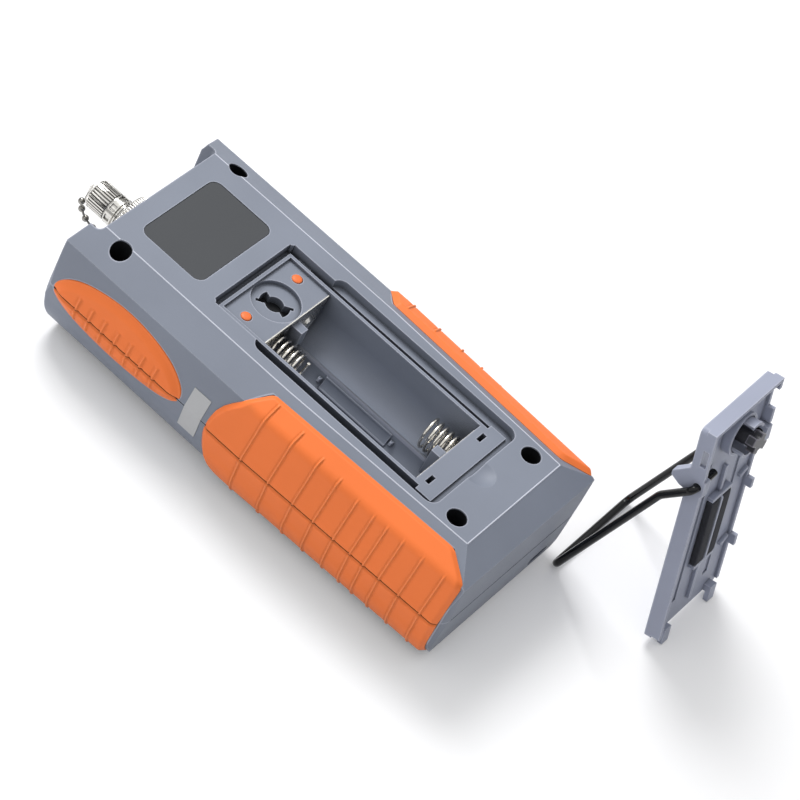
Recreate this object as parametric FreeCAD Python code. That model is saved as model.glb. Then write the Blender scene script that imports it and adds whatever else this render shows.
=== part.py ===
import FreeCAD, Part
import math
import os

V = FreeCAD.Vector

# Optical power meter lying face down, its battery cover taken off and standing beside it.
# Millimetres. X runs right as one looks at the back, Y towards the optical connector, Z up out of the back.
# The origin is on the surface it lies on, under the middle of the front face.

# Housing
body_length = 148.0
body_height = 40.0
parting_z = 20.0
half_width_top = 36.0
half_width_middle = 36.3
half_width_bottom = 33.8
flat_inset = 12.0
crease_inset = 2.6
crease_drop = 4.5
front_draft = 0.8
front_radius = 13.5
wall = 2.2
end_chamfer_length = 9.0
end_chamfer_drop = 5.0
corner_radius_bottom = 5.0
corner_radius_ears = 4.0
ear_inner = 26.0
ear_height = 5.0
ear_lead = 1.6
front_edge_round = 5.0

# Screws
upper_screw_x = 26.1
upper_screw_y = 61.0
lower_screw_x = 17.7
lower_screw_y = -57.6
screw_hole_radius = 3.05
screw_boss_radius = 4.4
screw_head_radius = 2.6
screw_head_height = 1.8
screw_shank_radius = 1.2
screw_seat_z = 27.0
screw_tip_z = 9.0
screw_clearance = 0.15

# Battery bay
bay_half_width = 15.2
bay_top_y = 15.6
bay_length = 57.0
bay_floor_wall = 1.4
bay_wall = 1.1
channel_radius = 7.6
recess_depth = 2.0
plateau_drop = 1.0
recess_top_y = 33.5
recess_half_width = 18.0
rim_channel_depth = 5.4
rim_channel_bottom_y = -43.4
rim_channel_top_width = 1.5
groove_top_y = 17.0
groove_half_width = 20.5
groove_bottom_y = -51.0
groove_drop = 0.8
ledge_bottom_y = -49.0
lock_recess_radius = 7.5
lock_recess_drop = 1.4
cover_seat_gap = 0.2
lock_mark_x = 11.6
lock_mark_y = 24.9
lock_mark_radius = 1.7
lock_mark_thickness = 0.4
hook_x = 12.1
hook_slot_y = -44.3
hook_slot_width = 3.4
hook_slot_height = 1.4
scoop_y = -52.6
scoop_radius = 9.0
scoop_depth = 1.2
bay_rib_y = (-0.5, -29.5)

# Labels
label_half_width = 16.7
label_top_y = 62.6
label_height = 23.0
label_corner = 3.0
label_depth = 0.4
label_thickness = 0.25
seal_y = 17.1
seal_width = 6.2
seal_height = 15.8
seal_z = 19.6
seal_thickness = 0.15

# Grips
grip_proud = 1.5
grip_bed = 0.7
grip_seam = 0.15
grip_edge_inset = 3.2
grip_bottom_z = 2.6
grip_end_y = -72.4
grip_end_corner_x = 32.4
grip_end_slope_x = 24.9
grip_end_slope_y = -63.0
grip_round_y = -8.3
grip_round_z = 20.5
grip_round_radius = 20.5
grip_bevel_angle = 45.0
rib_proud = 0.45
rib_width = 0.9
lower_rib_places = ((-2.0, 7.4), (-12.0, 6.1), (-21.0, 4.4), (-28.5, 3.5), (-35.8, 2.7), (-41.9, 2.5),
                    (-46.7, 2.5), (-52.4, 2.5), (-59.4, 2.5), (-67.0, 2.5))
oval_y = 46.6
oval_z = 22.3
oval_half_length = 24.3
oval_half_height = 9.0
oval_rise = 1.6
oval_bevel = 0.8
oval_rib_y = 46.6
oval_rib_pitch = 4.9
oval_rib_count = 7
oval_rib_reach = 4.4
oval_rib_width = 0.6
oval_rib_proud = 0.3

# Optical connector and its cap
connector_z = 20.7
flange_radius = 8.2
flange_thickness = 1.6
barrel_radius = 4.0
barrel_length = 13.4
barrel_bore = 2.6
barrel_tail_radius = 5.2
barrel_tail_length = 6.5
barrel_nut_radius = 7.0
barrel_nut_thickness = 2.0
barrel_groove_depth = 0.35
barrel_groove_pitch = 1.5
key_slot_width = 2.1
key_slot_length = 4.5
sleeve_outer = 1.6
sleeve_bore = 1.25
sleeve_length = 11.0
cap_radius = 4.75
cap_near_gap = 6.8
cap_collar_length = 2.7
cap_collar_radius = 4.95
cap_collar_flat = 4.55
cap_length = 11.5
cap_wall_end = 1.5
cap_thread_clearance = 0.08
cap_flutes = 24
cap_flute_radius = 0.32
swivel_pin_radius = 0.9
swivel_pin_length = 2.0
swivel_head_radius = 1.7
swivel_head_thickness = 0.7
swivel_clearance = 0.08
chain_ball_radius = 1.15
chain_rod_radius = 0.4
chain_balls = 13
chain_drop = 10.8
chain_sway = -2.2
chain_link_gap = 0.75
chain_ring_wire = 0.6

# Detector, board, display and keys
detector_radius = 2.8
detector_length = 3.6
detector_holder_radius = 5.6
detector_holder_length = 8.0
board_half_width = 29.0
board_top_y = 50.0
board_bottom_y = -66.0
board_z = 8.8
board_thickness = 1.6
board_boss_radius = 3.0
board_screw_radius = 1.0
board_screw_head = 2.0
board_screw_head_height = 1.2
board_screw_x = 24.0
board_screw_y = (44.0, -44.0)
board_chips = ((-10.0, 2.0, 26.0, 36.0, 1.2), (8.0, 15.0, 30.0, 35.0, 1.8), (-6.0, 1.0, -62.0, -54.0, 2.4))
overlay_half_width = 21.0
overlay_top_y = 57.0
overlay_bottom_y = -52.0
overlay_corner = 5.0
overlay_depth = 0.5
overlay_thickness = 0.5
window_half_width = 19.0
window_top_y = 51.0
window_bottom_y = 15.0
window_corner = 2.0
window_thickness = 1.6
window_recess = 0.2
window_ledge = 1.6
display_thickness = 3.2
display_frame = 1.2
display_glass_inset = 2.5
key_columns = (-13.0, 0.0, 13.0)
key_rows = (-9.0, -23.0)
key_half_width = 4.9
key_half_height = 3.6
key_corner = 2.4
key_clearance = 0.35
key_flange = 0.9
key_flange_thickness = 0.8
key_recess = 0.25
key_stem_radius = 1.6
key_travel = 0.8
mat_thickness = 0.7
dome_radius = 2.6
port_x = 21.0
port_half_width = 4.0
port_height = 3.2
port_depth = 9.0
port_clearance = 0.3

# Contacts
contact_thickness = 0.4
contact_half_width = 6.2
spring_wire = 0.45
spring_foot_radius = 4.6
spring_tip_radius = 2.4
spring_length = 9.5
spring_turns = 5
contact_button_radius = 2.8
contact_button_height = 0.9
divider_half_width = 0.9
divider_length = 4.0

# Battery cover and its stand, in the cover's own frame, then leant back on the stand
cover_half_width = 17.5
cover_height = 80.0
cover_thickness = 2.0
cover_x = 47.0
cover_corner = 1.6
rim_height = 3.0
rim_low = 1.0
rim_thickness = 1.2
left_rim_window = (67.7, 73.4)
right_rim_tabs = ((76.3, 80.0), (63.8, 69.0), (54.6, 58.0), (38.8, 42.2), (16.2, 20.0))
hinge_h = 60.4
hinge_depth = 1.35
wire_radius = 1.2
wire_clearance = 0.1
pin_inner_x = 8.8
leg_x = 19.4
knee_length = 12.0
leg_length = 52.6
knee_angle = 20.0
stand_open_angle = 29.6
stand_foot_gap = 2.6
wire_bend = 3.0
lug_half_width = 1.3
lug_x = 16.2
lug_reach = 5.0
notch_half = 1.9
slot_inner_x = 8.3
boss_drop = 10.0
boss_outer = 6.8
boss_inner = 5.9
boss_height = 3.0
guide_outer = 5.6
guide_inner = 4.7
guide_height = 6.4
guide_half_angle = 38.0
lock_head_radius = 5.2
lock_head_depth = 1.2
lock_clearance = 0.15
lock_shaft_radius = 2.3
lock_length = 9.4
lock_lug_reach = 4.4
lock_lug_half = 1.3
lock_lug_height = 2.6
lock_slot_width = 1.4
lock_slot_depth = 0.7
hook_length = 3.0
hook_half_width = 1.6
hook_plate = 1.6
hook_plate_depth = 0.9
centre_rib_half = 0.6
centre_rib_h = (5.2, 57.0)
centre_rib_height = 1.2
cross_rib_h = (47.0, 20.9)
cross_rib_height = 2.0
pad_h = (21.7, 46.2)
pad_x = (0.9, 5.0)
pad_thickness = 2.4
swage_x = 8.4
swage_half = 1.3
swage_depth = 0.5
swage_h = (8.5, 57.0)
stub_x = 13.4
stub_h = (45.8, 19.0)
stub_half_length = 1.9
stub_half_width = 0.6

top_y = body_length / 2
bottom_y = -body_length / 2
recess_end_y = top_y - ear_height
crease_z = body_height - crease_drop
recess_z = body_height - recess_depth
plateau_z = recess_z - plateau_drop
lock_recess_z = plateau_z - lock_recess_drop
channel_x = bay_half_width - channel_radius
cell_z = parting_z + 1.0 + bay_floor_wall + channel_radius
bay_bottom_y = bay_top_y - bay_length
boss_h = cover_height - boss_drop
lock_y = recess_top_y - cover_seat_gap - boss_drop
clear = body_length
stations = ((top_y, half_width_top), (0.0, half_width_middle), (bottom_y, half_width_bottom))
station_reach = 5.0


def box(x0, x1, y0, y1, z0, z1):
    """Box between two opposite corners."""
    return Part.makeBox(x1 - x0, y1 - y0, z1 - z0, V(x0, y0, z0))


def rod(radius, start, end):
    """Round bar from one point to another."""
    axis = end.sub(start)
    return Part.makeCylinder(radius, axis.Length, start, axis)


def polygon_prism(points, along):
    """Prism of a closed outline of 3-D points, carried by the vector along."""
    wire = Part.makePolygon(list(points) + [points[0]])
    return Part.Face(wire).extrude(along)


def rounded_plate(x0, x1, y0, y1, radius, z0, z1):
    """Upright plate with four rounded corners."""
    plate = box(x0, x1, y0, y1, z0, z1)
    edges = [e for e in plate.Edges if abs(e.Vertexes[0].Z - e.Vertexes[1].Z) > 1e-6]
    return plate.makeFillet(radius, edges)


def fuse_all(first, others):
    """One solid from a base and a list of pieces that touch it."""
    return first.multiFuse(list(others)).removeSplitter()


def mirrored(shape):
    """The same shape on the other side of the centre plane."""
    return shape.mirror(V(0, 0, 0), V(1, 0, 0))


def both_sides(shape):
    """A shape and its mirror image."""
    return [shape, mirrored(shape)]


def meet(p, n, q, m):
    """Crossing point of two lines, each given by a point and a normal, in one plane."""
    a = p[0] * n[0] + p[1] * n[1]
    b = q[0] * m[0] + q[1] * m[1]
    det = n[0] * m[1] - n[1] * m[0]
    return ((a * m[1] - b * n[1]) / det, (n[0] * b - m[0] * a) / det)


def unit_normal(p, q):
    """Outward normal of the line from p to q, for an outline that runs clockwise."""
    dx, dz = q[0] - p[0], q[1] - p[1]
    size = math.hypot(dx, dz)
    return (-dz / size, dx / size)


def half_section(half_width, offset):
    """Right half of the housing's cross-section, moved outwards by offset.

    The points run from the flat back over the sloped facet and the side to the round front edge.
    """
    flat = (half_width - flat_inset, body_height)
    crease = (half_width - crease_inset, crease_z)
    seam = (half_width, parting_z)
    low = (half_width - front_draft, front_radius)
    normals = [(0.0, 1.0), unit_normal(flat, crease), unit_normal(crease, seam), unit_normal(seam, low)]
    places = [flat, flat, crease, seam]
    moved = [(p[0] + offset * n[0], p[1] + offset * n[1]) for p, n in zip(places, normals)]
    corners = [meet(moved[i], normals[i], moved[i + 1], normals[i + 1]) for i in range(3)]
    radius = front_radius + offset
    centre = (low[0] - front_radius, front_radius)
    diagonal = radius * math.sqrt(0.5)
    arc = [(centre[0] + radius, centre[1]),
           (centre[0] + diagonal, centre[1] - diagonal),
           (centre[0], centre[1] - radius)]
    return corners, arc


def section_wire(y, half_width, offset):
    """Closed cross-section of the housing at one place along it."""
    corners, arc = half_section(half_width, offset)

    def at(p, side):
        return V(side * p[0], y, p[1])

    edges = []
    for side in (1, -1):
        run = [at(p, side) for p in corners] + [at(arc[0], side)]
        edges += [Part.makeLine(a, b) for a, b in zip(run, run[1:])]
        edges.append(Part.Arc(*[at(p, side) for p in arc]).toShape())
    edges.append(Part.makeLine(at(arc[2], 1), at(arc[2], -1)))
    edges.append(Part.makeLine(at(corners[0], 1), at(corners[0], -1)))
    return Part.Wire(Part.__sortEdges__(edges))


def side_profile(offset):
    """Housing seen from the side: ears at one end, chamfered chin at the other."""
    low, high = -offset, body_height + offset
    start, end = bottom_y - offset, top_y + offset
    chin = [V(0, start + end_chamfer_length + 0.5 * offset, high),
            V(0, start + 0.5, body_height - end_chamfer_drop + 0.5 * offset),
            V(0, start, parting_z),
            V(0, start + 0.4, front_edge_round)]
    ears = [V(0, end - 5.0, low),
            V(0, end - 2.2, front_edge_round + 5.0),
            V(0, end - 0.4, parting_z),
            V(0, end, crease_z + offset),
            V(0, end - ear_lead, high)]
    turn = chin[3]
    foot = V(0, turn.y + front_edge_round, low)
    middle = V(0, turn.y + 0.27 * front_edge_round, low + 0.27 * front_edge_round)
    edges = [Part.makeLine(a, b) for a, b in zip(chin, chin[1:])]
    edges.append(Part.Arc(turn, middle, foot).toShape())
    run = [foot] + ears + [chin[0]]
    edges += [Part.makeLine(a, b) for a, b in zip(run, run[1:])]
    reach = half_width_middle + offset + 5
    face = Part.Face(Part.Wire(edges))
    face.translate(V(-reach, 0, 0))
    return face.extrude(V(2 * reach, 0, 0))


def plan_outline(offset):
    """Housing seen from above, with its four round corners."""
    slack = 0.4 + offset
    right = [(half_width_top + slack, top_y + offset), (half_width_middle + slack, 0),
             (half_width_bottom + slack, bottom_y - offset)]
    points = [V(x, y, -5) for x, y in right] + [V(-x, y, -5) for x, y in reversed(right)]
    prism = polygon_prism(points, V(0, 0, body_height + 10))
    for y, radius in ((top_y + offset, corner_radius_ears), (bottom_y - offset, corner_radius_bottom)):
        edges = [e for e in prism.Edges
                 if abs(e.Vertexes[0].Y - y) < 1e-6 and abs(e.Vertexes[1].Y - y) < 1e-6
                 and abs(e.Vertexes[0].X - e.Vertexes[1].X) < 1e-6]
        prism = prism.makeFillet(radius + offset, edges)
    return prism


def housing_block(offset):
    """Solid block of the whole housing, moved outwards by offset."""
    wires = [section_wire(y + math.copysign(station_reach, y) * (y != 0), half_width, offset)
             for y, half_width in stations]
    loft = Part.makeLoft(wires, True, True)
    return loft.common(side_profile(offset)).common(plan_outline(offset))


def screw_places():
    """Centres of the four case screws."""
    return [(side * x, y) for x, y in ((upper_screw_x, upper_screw_y), (lower_screw_x, lower_screw_y))
            for side in (-1, 1)]


def upper_half():
    """Everything above the parting line."""
    return box(-clear, clear, -clear, clear, parting_z, clear)


def lower_half():
    """Everything below the parting line."""
    return box(-clear, clear, -clear, clear, -clear, parting_z)


def cavity():
    """Hollow inside of the two shells, short of the connector wall."""
    inner_end = recess_end_y - wall
    return housing_block(-wall).common(box(-clear, clear, -clear, inner_end, -clear, clear))


def ear_recess():
    """Gap between the two ears, where the optical connector stands."""
    gap = box(-ear_inner, ear_inner, recess_end_y, top_y + 5, -5, body_height + 5)
    edges = [e for e in gap.Edges
             if abs(e.Vertexes[0].Z - e.Vertexes[1].Z) > 1 and abs(e.Vertexes[0].Y - recess_end_y) < 1e-6]
    return gap.makeFillet(2.0, edges)


def bay_void():
    """Battery bay: two round-bottomed channels, open at the back."""
    void = box(-bay_half_width, bay_half_width, bay_bottom_y, bay_top_y, cell_z, body_height + 1)
    for side in (-1, 1):
        start = V(side * channel_x, bay_bottom_y, cell_z)
        void = void.fuse(rod(channel_radius, start, V(side * channel_x, bay_top_y, cell_z)))
    return void


def keyhole(z0, z1):
    """Opening for the quarter-turn lock: a round hole with two opposite lobes and two small nicks."""
    hole = Part.makeCylinder(2.8, z1 - z0, V(0, lock_y, z0))
    for turn in (0, 180):
        lobe = Part.makeCylinder(lock_lug_reach + 0.3, z1 - z0, V(0, 0, 0), V(0, 0, 1), 56)
        lobe.rotate(V(0, 0, 0), V(0, 0, 1), 69 + turn)
        nick = box(0, 5.6, -0.5, 0.5, 0, z1 - z0)
        nick.rotate(V(0, 0, 0), V(0, 0, 1), 125 + turn)
        for piece in (lobe, nick):
            piece.translate(V(0, lock_y, z0))
            hole = hole.fuse(piece)
    return hole.removeSplitter()


def cover_seat(shell):
    """Cut the recess that the battery cover drops into, with its rim channels and stand groove."""
    above = body_height + 2
    seat = rounded_plate(-recess_half_width, recess_half_width, ledge_bottom_y, recess_top_y, 2.2, recess_z, above)
    groove = rounded_plate(-groove_half_width, groove_half_width, groove_bottom_y, groove_top_y, 3.2,
                           recess_z - groove_drop, above)
    island = box(-recess_half_width, recess_half_width, ledge_bottom_y, groove_top_y + 1, 0, recess_z)
    ring_x = bay_half_width + bay_wall
    side_channel = box(ring_x, recess_half_width, rim_channel_bottom_y, recess_top_y - 1.0,
                       body_height - rim_channel_depth, above)
    bridge = box(ring_x - 0.2, recess_half_width + 0.2, 24.6, 29.4, 0, recess_z - 1.2)
    top_channel = box(-recess_half_width + 1, recess_half_width - 1, recess_top_y - rim_channel_top_width,
                      recess_top_y, recess_z - 1.4, above)
    plateau = box(-bay_half_width, bay_half_width, bay_top_y - 1, recess_top_y - rim_channel_top_width - bay_wall,
                  plateau_z, above)
    lock_recess = Part.makeCylinder(lock_recess_radius, 10, V(0, lock_y, lock_recess_z))
    cuts = [seat, groove.cut(island), top_channel, plateau, lock_recess, keyhole(0, above), bay_void()]
    cuts += both_sides(side_channel.cut(bridge))
    for side in (-1, 1):
        x = side * hook_x
        cuts.append(box(x - hook_slot_width / 2, x + hook_slot_width / 2, hook_slot_y - hook_slot_height / 2,
                        hook_slot_y + hook_slot_height / 2, recess_z - 4.5, above))
        mark = V(side * lock_mark_x, lock_mark_y, plateau_z - lock_mark_thickness)
        cuts.append(Part.makeCylinder(lock_mark_radius, 10, mark))
    lift = scoop_radius - scoop_depth
    cuts.append(Part.makeSphere(scoop_radius, V(0, scoop_y, body_height + lift)))
    return shell.cut(cuts)


def make_rear_shell(block, hollow, grips_bed):
    """Rear housing half: back, slopes and sides, with the battery tub moulded in."""
    outer = block.common(upper_half())
    shell = outer.cut(hollow)
    pad = box(-22.5, 22.5, groove_bottom_y - 3, recess_top_y + 2.5, body_height - 7.0, body_height)
    tub = box(-bay_half_width - bay_wall, bay_half_width + bay_wall, bay_bottom_y - 2.6, bay_top_y + 2.6,
              parting_z + 1.0, body_height)
    inside = [pad, tub]
    for x, y in screw_places():
        inside.append(Part.makeCylinder(screw_boss_radius, body_height, V(x, y, parting_z)))
    wall_pad = box(-detector_holder_radius - 3, detector_holder_radius + 3, recess_end_y - wall - 4,
                   recess_end_y - wall, parting_z, body_height - 10)
    inside.append(wall_pad)
    shell = fuse_all(shell, [piece.common(outer) for piece in inside])
    shell = cover_seat(shell)
    cuts = []
    for x, y in screw_places():
        cuts.append(Part.makeCylinder(screw_hole_radius, body_height, V(x, y, screw_seat_z)))
        cuts.append(Part.makeCylinder(screw_shank_radius + screw_clearance, body_height, V(x, y, 0)))
    cuts.append(rounded_plate(-label_half_width, label_half_width, label_top_y - label_height, label_top_y,
                              label_corner, body_height - label_depth, body_height + 2))
    bore_end = V(0, recess_end_y + 5, connector_z)
    cuts.append(rod(barrel_tail_radius + 0.1, V(0, recess_end_y - wall - 5, connector_z), bore_end))
    shell = shell.cut(cuts)
    ribs = []
    for y in bay_rib_y:
        rib = box(-bay_half_width - 0.5, -channel_x + 1.2, y - 0.6, y + 0.6, cell_z - channel_radius - 0.6,
                  cell_z - channel_radius + 1.9)
        ribs.append(rib)
    for side in (-1, 1):
        ribs.append(box(side * 0.6 - divider_half_width, side * 0.6 + divider_half_width,
                        bay_top_y - divider_length, bay_top_y + 0.5, cell_z - 6.0, recess_z - 2.5))
        ribs.append(box(side * 0.6 - divider_half_width, side * 0.6 + divider_half_width,
                        bay_bottom_y - 0.5, bay_bottom_y + divider_length, cell_z - 6.0, recess_z - 2.5))
    keep = box(-bay_half_width - 0.5, bay_half_width + 0.5, bay_bottom_y - 0.5, bay_top_y + 0.5, parting_z, 60)
    shell = fuse_all(shell, [rib.common(keep) for rib in ribs])
    return shell.cut(grips_bed).cut(ear_recess())


def key_places():
    """Names and centres of the six front keys."""
    names = ("power", "wavelength", "unit", "reference", "backlight", "store")
    places = [(x, y) for y in key_rows for x in key_columns]
    return list(zip(names, places))


def make_front_shell(block, hollow, grips_bed):
    """Front housing half with its display window, key holes, screw pillars and port."""
    outer = block.common(lower_half())
    shell = outer.cut(hollow)
    inside = []
    for x, y in screw_places():
        inside.append(Part.makeCylinder(screw_boss_radius - 0.6, parting_z, V(x, y, 0)))
    for y in board_screw_y:
        for side in (-1, 1):
            inside.append(Part.makeCylinder(board_boss_radius, board_z, V(side * board_screw_x, y, 0)))
    inside.append(rounded_plate(-window_half_width - 3, window_half_width + 3, window_bottom_y - 3,
                                window_top_y + 3, 3.0, 0, overlay_depth + window_thickness + window_ledge))
    wall_pad = box(-detector_holder_radius - 3, detector_holder_radius + 3, recess_end_y - wall - 4,
                   recess_end_y - wall, 8.0, parting_z)
    inside.append(wall_pad)
    shell = fuse_all(shell, [piece.common(outer) for piece in inside])
    cuts = [rounded_plate(-overlay_half_width, overlay_half_width, overlay_bottom_y, overlay_top_y,
                          overlay_corner, -5, overlay_depth)]
    cuts.append(rounded_plate(-window_half_width, window_half_width, window_bottom_y, window_top_y,
                              window_corner, -5, overlay_depth + window_thickness))
    inset = window_ledge
    cuts.append(rounded_plate(-window_half_width + inset, window_half_width - inset, window_bottom_y + inset,
                              window_top_y - inset, window_corner, -5, 12))
    for _, (x, y) in key_places():
        half_w, half_h = key_half_width + key_clearance, key_half_height + key_clearance
        cuts.append(rounded_plate(x - half_w, x + half_w, y - half_h, y + half_h, key_corner + key_clearance, -5, 8))
    for x, y in screw_places():
        cuts.append(Part.makeCylinder(screw_shank_radius, parting_z, V(x, y, screw_tip_z - 0.5)))
    for y in board_screw_y:
        for side in (-1, 1):
            cuts.append(Part.makeCylinder(board_screw_radius, board_z, V(side * board_screw_x, y, board_z - 4.5)))
    half_w, half_h = port_half_width + port_clearance, port_height / 2 + port_clearance
    cuts.append(rounded_plate(-half_w, half_w, -half_h, half_h, 1.2, 0, 30))
    cuts[-1].rotate(V(0, 0, 0), V(1, 0, 0), 90)
    cuts[-1].translate(V(port_x, bottom_y + 15, board_z - port_height / 2))
    cuts.append(rod(barrel_tail_radius + 0.1, V(0, recess_end_y - wall - 5, connector_z),
                    V(0, recess_end_y + 5, connector_z)))
    shell = shell.cut(cuts)
    return shell.cut(grips_bed).cut(ear_recess())


def half_width_at(y):
    """Half width of the housing at its parting line, at one place along it."""
    end, half_width = stations[0] if y > 0 else stations[-1]
    return half_width_middle + (half_width - half_width_middle) * y / (end + math.copysign(station_reach, end))


def lower_grip_zone():
    """Space that a lower left grip takes up: a bevelled edge along the slope and a round upper end."""
    facet = math.atan2(crease_drop, flat_inset - crease_inset)
    bevel = math.radians(grip_bevel_angle) - facet

    def section(y, half_width):
        edge = (half_width - flat_inset + grip_edge_inset, body_height - grip_edge_inset * math.tan(facet))
        points = [edge, (edge[0] + 20 * math.cos(bevel), edge[1] + 20 * math.sin(bevel)),
                  (edge[0] + 20, grip_bottom_z), (edge[0] - 6, grip_bottom_z), (edge[0] - 6, edge[1] - 6)]
        return Part.makePolygon([V(-x, y, z) for x, z in points + points[:1]])

    band = Part.makeLoft([section(y, w) for y, w in stations], True, True)
    plan = polygon_prism([V(-10, 40, -5), V(-60, 40, -5), V(-60, grip_end_y, -5),
                          V(-grip_end_corner_x, grip_end_y, -5), V(-grip_end_slope_x, grip_end_slope_y, -5),
                          V(-10, grip_end_slope_y + 14, -5)], V(0, 0, 60))
    disc = rod(grip_round_radius, V(-10, grip_round_y, grip_round_z), V(-60, grip_round_y, grip_round_z))
    tail = box(-60, -10, -100, grip_round_y, -5, 60)
    return band.common(plan).common(fuse_all(tail, [disc]))


def oval_wire(depth, inset):
    """Egg-shaped outline of an upper grip, at one depth under the housing's side."""
    points = []
    for i in range(12):
        t = 2 * math.pi * i / 12
        y = oval_y + (oval_half_length - inset) * math.cos(t)
        lift = oval_rise * math.sin(t) * math.sin(t)
        z = oval_z - 1.4 + lift + (oval_half_height - inset) * math.sin(t)
        points.append(V(depth - half_width_at(y), y, z))
    curve = Part.BSplineCurve()
    curve.interpolate(points, PeriodicFlag=True)
    return Part.Wire(curve.toShape())


def upper_grip_zone():
    """Space that an upper left grip takes up, bevelled towards the outside."""
    inner = oval_wire(8.0, 0.0)
    foot = oval_wire(0.6, 0.0)
    crown = oval_wire(-3.4, 4 * oval_bevel)
    return Part.makeLoft([inner, foot], True, True).fuse(Part.makeLoft([foot, crown], True, True))


def ribbed(grip, zone, proud, slabs):
    """Raise narrow ribs on a grip where the slabs cross it."""
    skin = housing_block(grip_proud + proud).cut(housing_block(grip_proud - 0.3)).common(zone)
    return fuse_all(grip, [skin.common(slab) for slab in slabs])


def make_grips():
    """The four left-hand grip pieces: upper and lower, each moulded on the rear and on the front shell."""
    skin = housing_block(grip_proud).cut(housing_block(-grip_bed))
    lower = lower_grip_zone()
    upper = upper_grip_zone()
    lower_slabs = [box(-60, inset - half_width_at(y), y - rib_width / 2, y + rib_width / 2, grip_bottom_z + 1.5, 60)
                   for y, inset in lower_rib_places]
    first = oval_rib_y - oval_rib_pitch * (oval_rib_count - 1) / 2
    upper_slabs = [box(-60, -10, first + i * oval_rib_pitch - oval_rib_width / 2,
                       first + i * oval_rib_pitch + oval_rib_width / 2, parting_z - oval_rib_reach,
                       parting_z + oval_rib_reach) for i in range(oval_rib_count)]
    grips = {"lower": ribbed(skin.common(lower), lower, rib_proud, lower_slabs),
             "upper": ribbed(skin.common(upper), upper, oval_rib_proud, upper_slabs)}
    above = box(-clear, clear, -clear, clear, parting_z + grip_seam, clear)
    below = box(-clear, clear, -clear, clear, -clear, parting_z - grip_seam)
    pieces = {}
    for place, grip in grips.items():
        pieces[place + "_grip_left_rear"] = grip.common(above)
        pieces[place + "_grip_left_front"] = grip.common(below)
    for name in list(pieces):
        pieces[name.replace("left", "right")] = mirrored(pieces[name])
    beds = both_sides(lower) + both_sides(upper)
    return pieces, beds


def make_labels():
    """Blank rating label in its recess and the blank seal across the parting line."""
    gap = 0.15
    floor = body_height - label_depth
    rating = rounded_plate(-label_half_width + gap, label_half_width - gap, label_top_y - label_height + gap,
                           label_top_y - gap, label_corner - gap, floor, floor + label_thickness)
    band = housing_block(seal_thickness).cut(housing_block(0))
    seal = band.common(box(-60, -10, seal_y - seal_width / 2, seal_y + seal_width / 2,
                           seal_z - seal_height / 2, seal_z + seal_height / 2))
    return rating, seal


def make_case_screws():
    """Four self-tapping screws at the bottom of the deep holes."""
    screws = []
    for x, y in screw_places():
        head = Part.makeCylinder(screw_head_radius, screw_head_height, V(x, y, screw_seat_z))
        shank = Part.makeCylinder(screw_shank_radius, screw_seat_z - screw_tip_z, V(x, y, screw_tip_z))
        cross = [box(x - 1.5, x + 1.5, y - 0.3, y + 0.3, screw_seat_z + screw_head_height - 0.9, 60),
                 box(x - 0.3, x + 0.3, y - 1.5, y + 1.5, screw_seat_z + screw_head_height - 0.9, 60)]
        screws.append(head.fuse(shank).removeSplitter().cut(cross))
    return Part.makeCompound(screws)


def make_lock_marks():
    """Two inlaid dots beside the lock."""
    return Part.makeCompound([Part.makeCylinder(lock_mark_radius, lock_mark_thickness,
                                                V(side * lock_mark_x, lock_mark_y, plateau_z - lock_mark_thickness))
                              for side in (-1, 1)])


def make_spring(x, y, direction):
    """Conical battery spring that stands on an end wall and points along the cell."""
    slope = math.degrees(math.atan2(spring_foot_radius - spring_tip_radius, spring_length))
    path = Part.makeHelix(spring_length / spring_turns, spring_length, spring_foot_radius, -slope)
    start = V(spring_foot_radius, 0, 0)
    ring = Part.Wire(Part.makeCircle(spring_wire, start, V(0, 1, 0)))
    coil = Part.Wire(path).makePipeShell([ring], True, True)
    coil.rotate(V(0, 0, 0), V(1, 0, 0), -90 * direction)
    coil.translate(V(x, y + direction * (spring_wire + 0.02), cell_z))
    return coil


def make_contacts():
    """Nickel-plated end plates of the bay and the raised button for a cell's positive end."""
    gap = 0.05
    top = box(-bay_half_width + 0.6, bay_half_width - 0.6, bay_top_y - contact_thickness, bay_top_y - gap,
              recess_z - 3.2, recess_z - 0.6)
    for side in (-1, 1):
        x = side * channel_x
        top = top.fuse(box(x - contact_half_width + 1, x + contact_half_width - 1, bay_top_y - contact_thickness,
                           bay_top_y - gap, cell_z - 5.0, recess_z - 2.0))
    button = Part.makeCone(contact_button_radius, contact_button_radius - 0.8, contact_button_height,
                           V(channel_x, bay_top_y - contact_thickness, cell_z), V(0, -1, 0))
    top = top.fuse(button).removeSplitter()
    y0 = bay_bottom_y + gap
    bottom = box(-bay_half_width + 1.6, bay_half_width - 1.6, y0, y0 + contact_thickness - gap,
                 cell_z + 2.0, recess_z - 1.2)
    for side in (-1, 1):
        x = side * channel_x
        bottom = bottom.fuse(box(x - contact_half_width + 1, x + contact_half_width - 1, y0,
                                 y0 + contact_thickness - gap, cell_z - 5.0, cell_z + 3.0))
    button = Part.makeCone(contact_button_radius, contact_button_radius - 0.8, contact_button_height,
                           V(-channel_x, y0 + contact_thickness - gap, cell_z), V(0, 1, 0))
    bottom = bottom.fuse(button).removeSplitter()
    dividers = []
    for side in (-1, 1):
        for y in (bay_top_y - divider_length / 2, bay_bottom_y + divider_length / 2):
            dividers.append(box(side * 0.6 - divider_half_width - gap, side * 0.6 + divider_half_width + gap,
                                y - divider_length / 2 - 1, y + divider_length / 2 + 1, cell_z - 6.1, recess_z - 2.4))
    return top.cut(dividers), bottom.cut(dividers)


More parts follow.
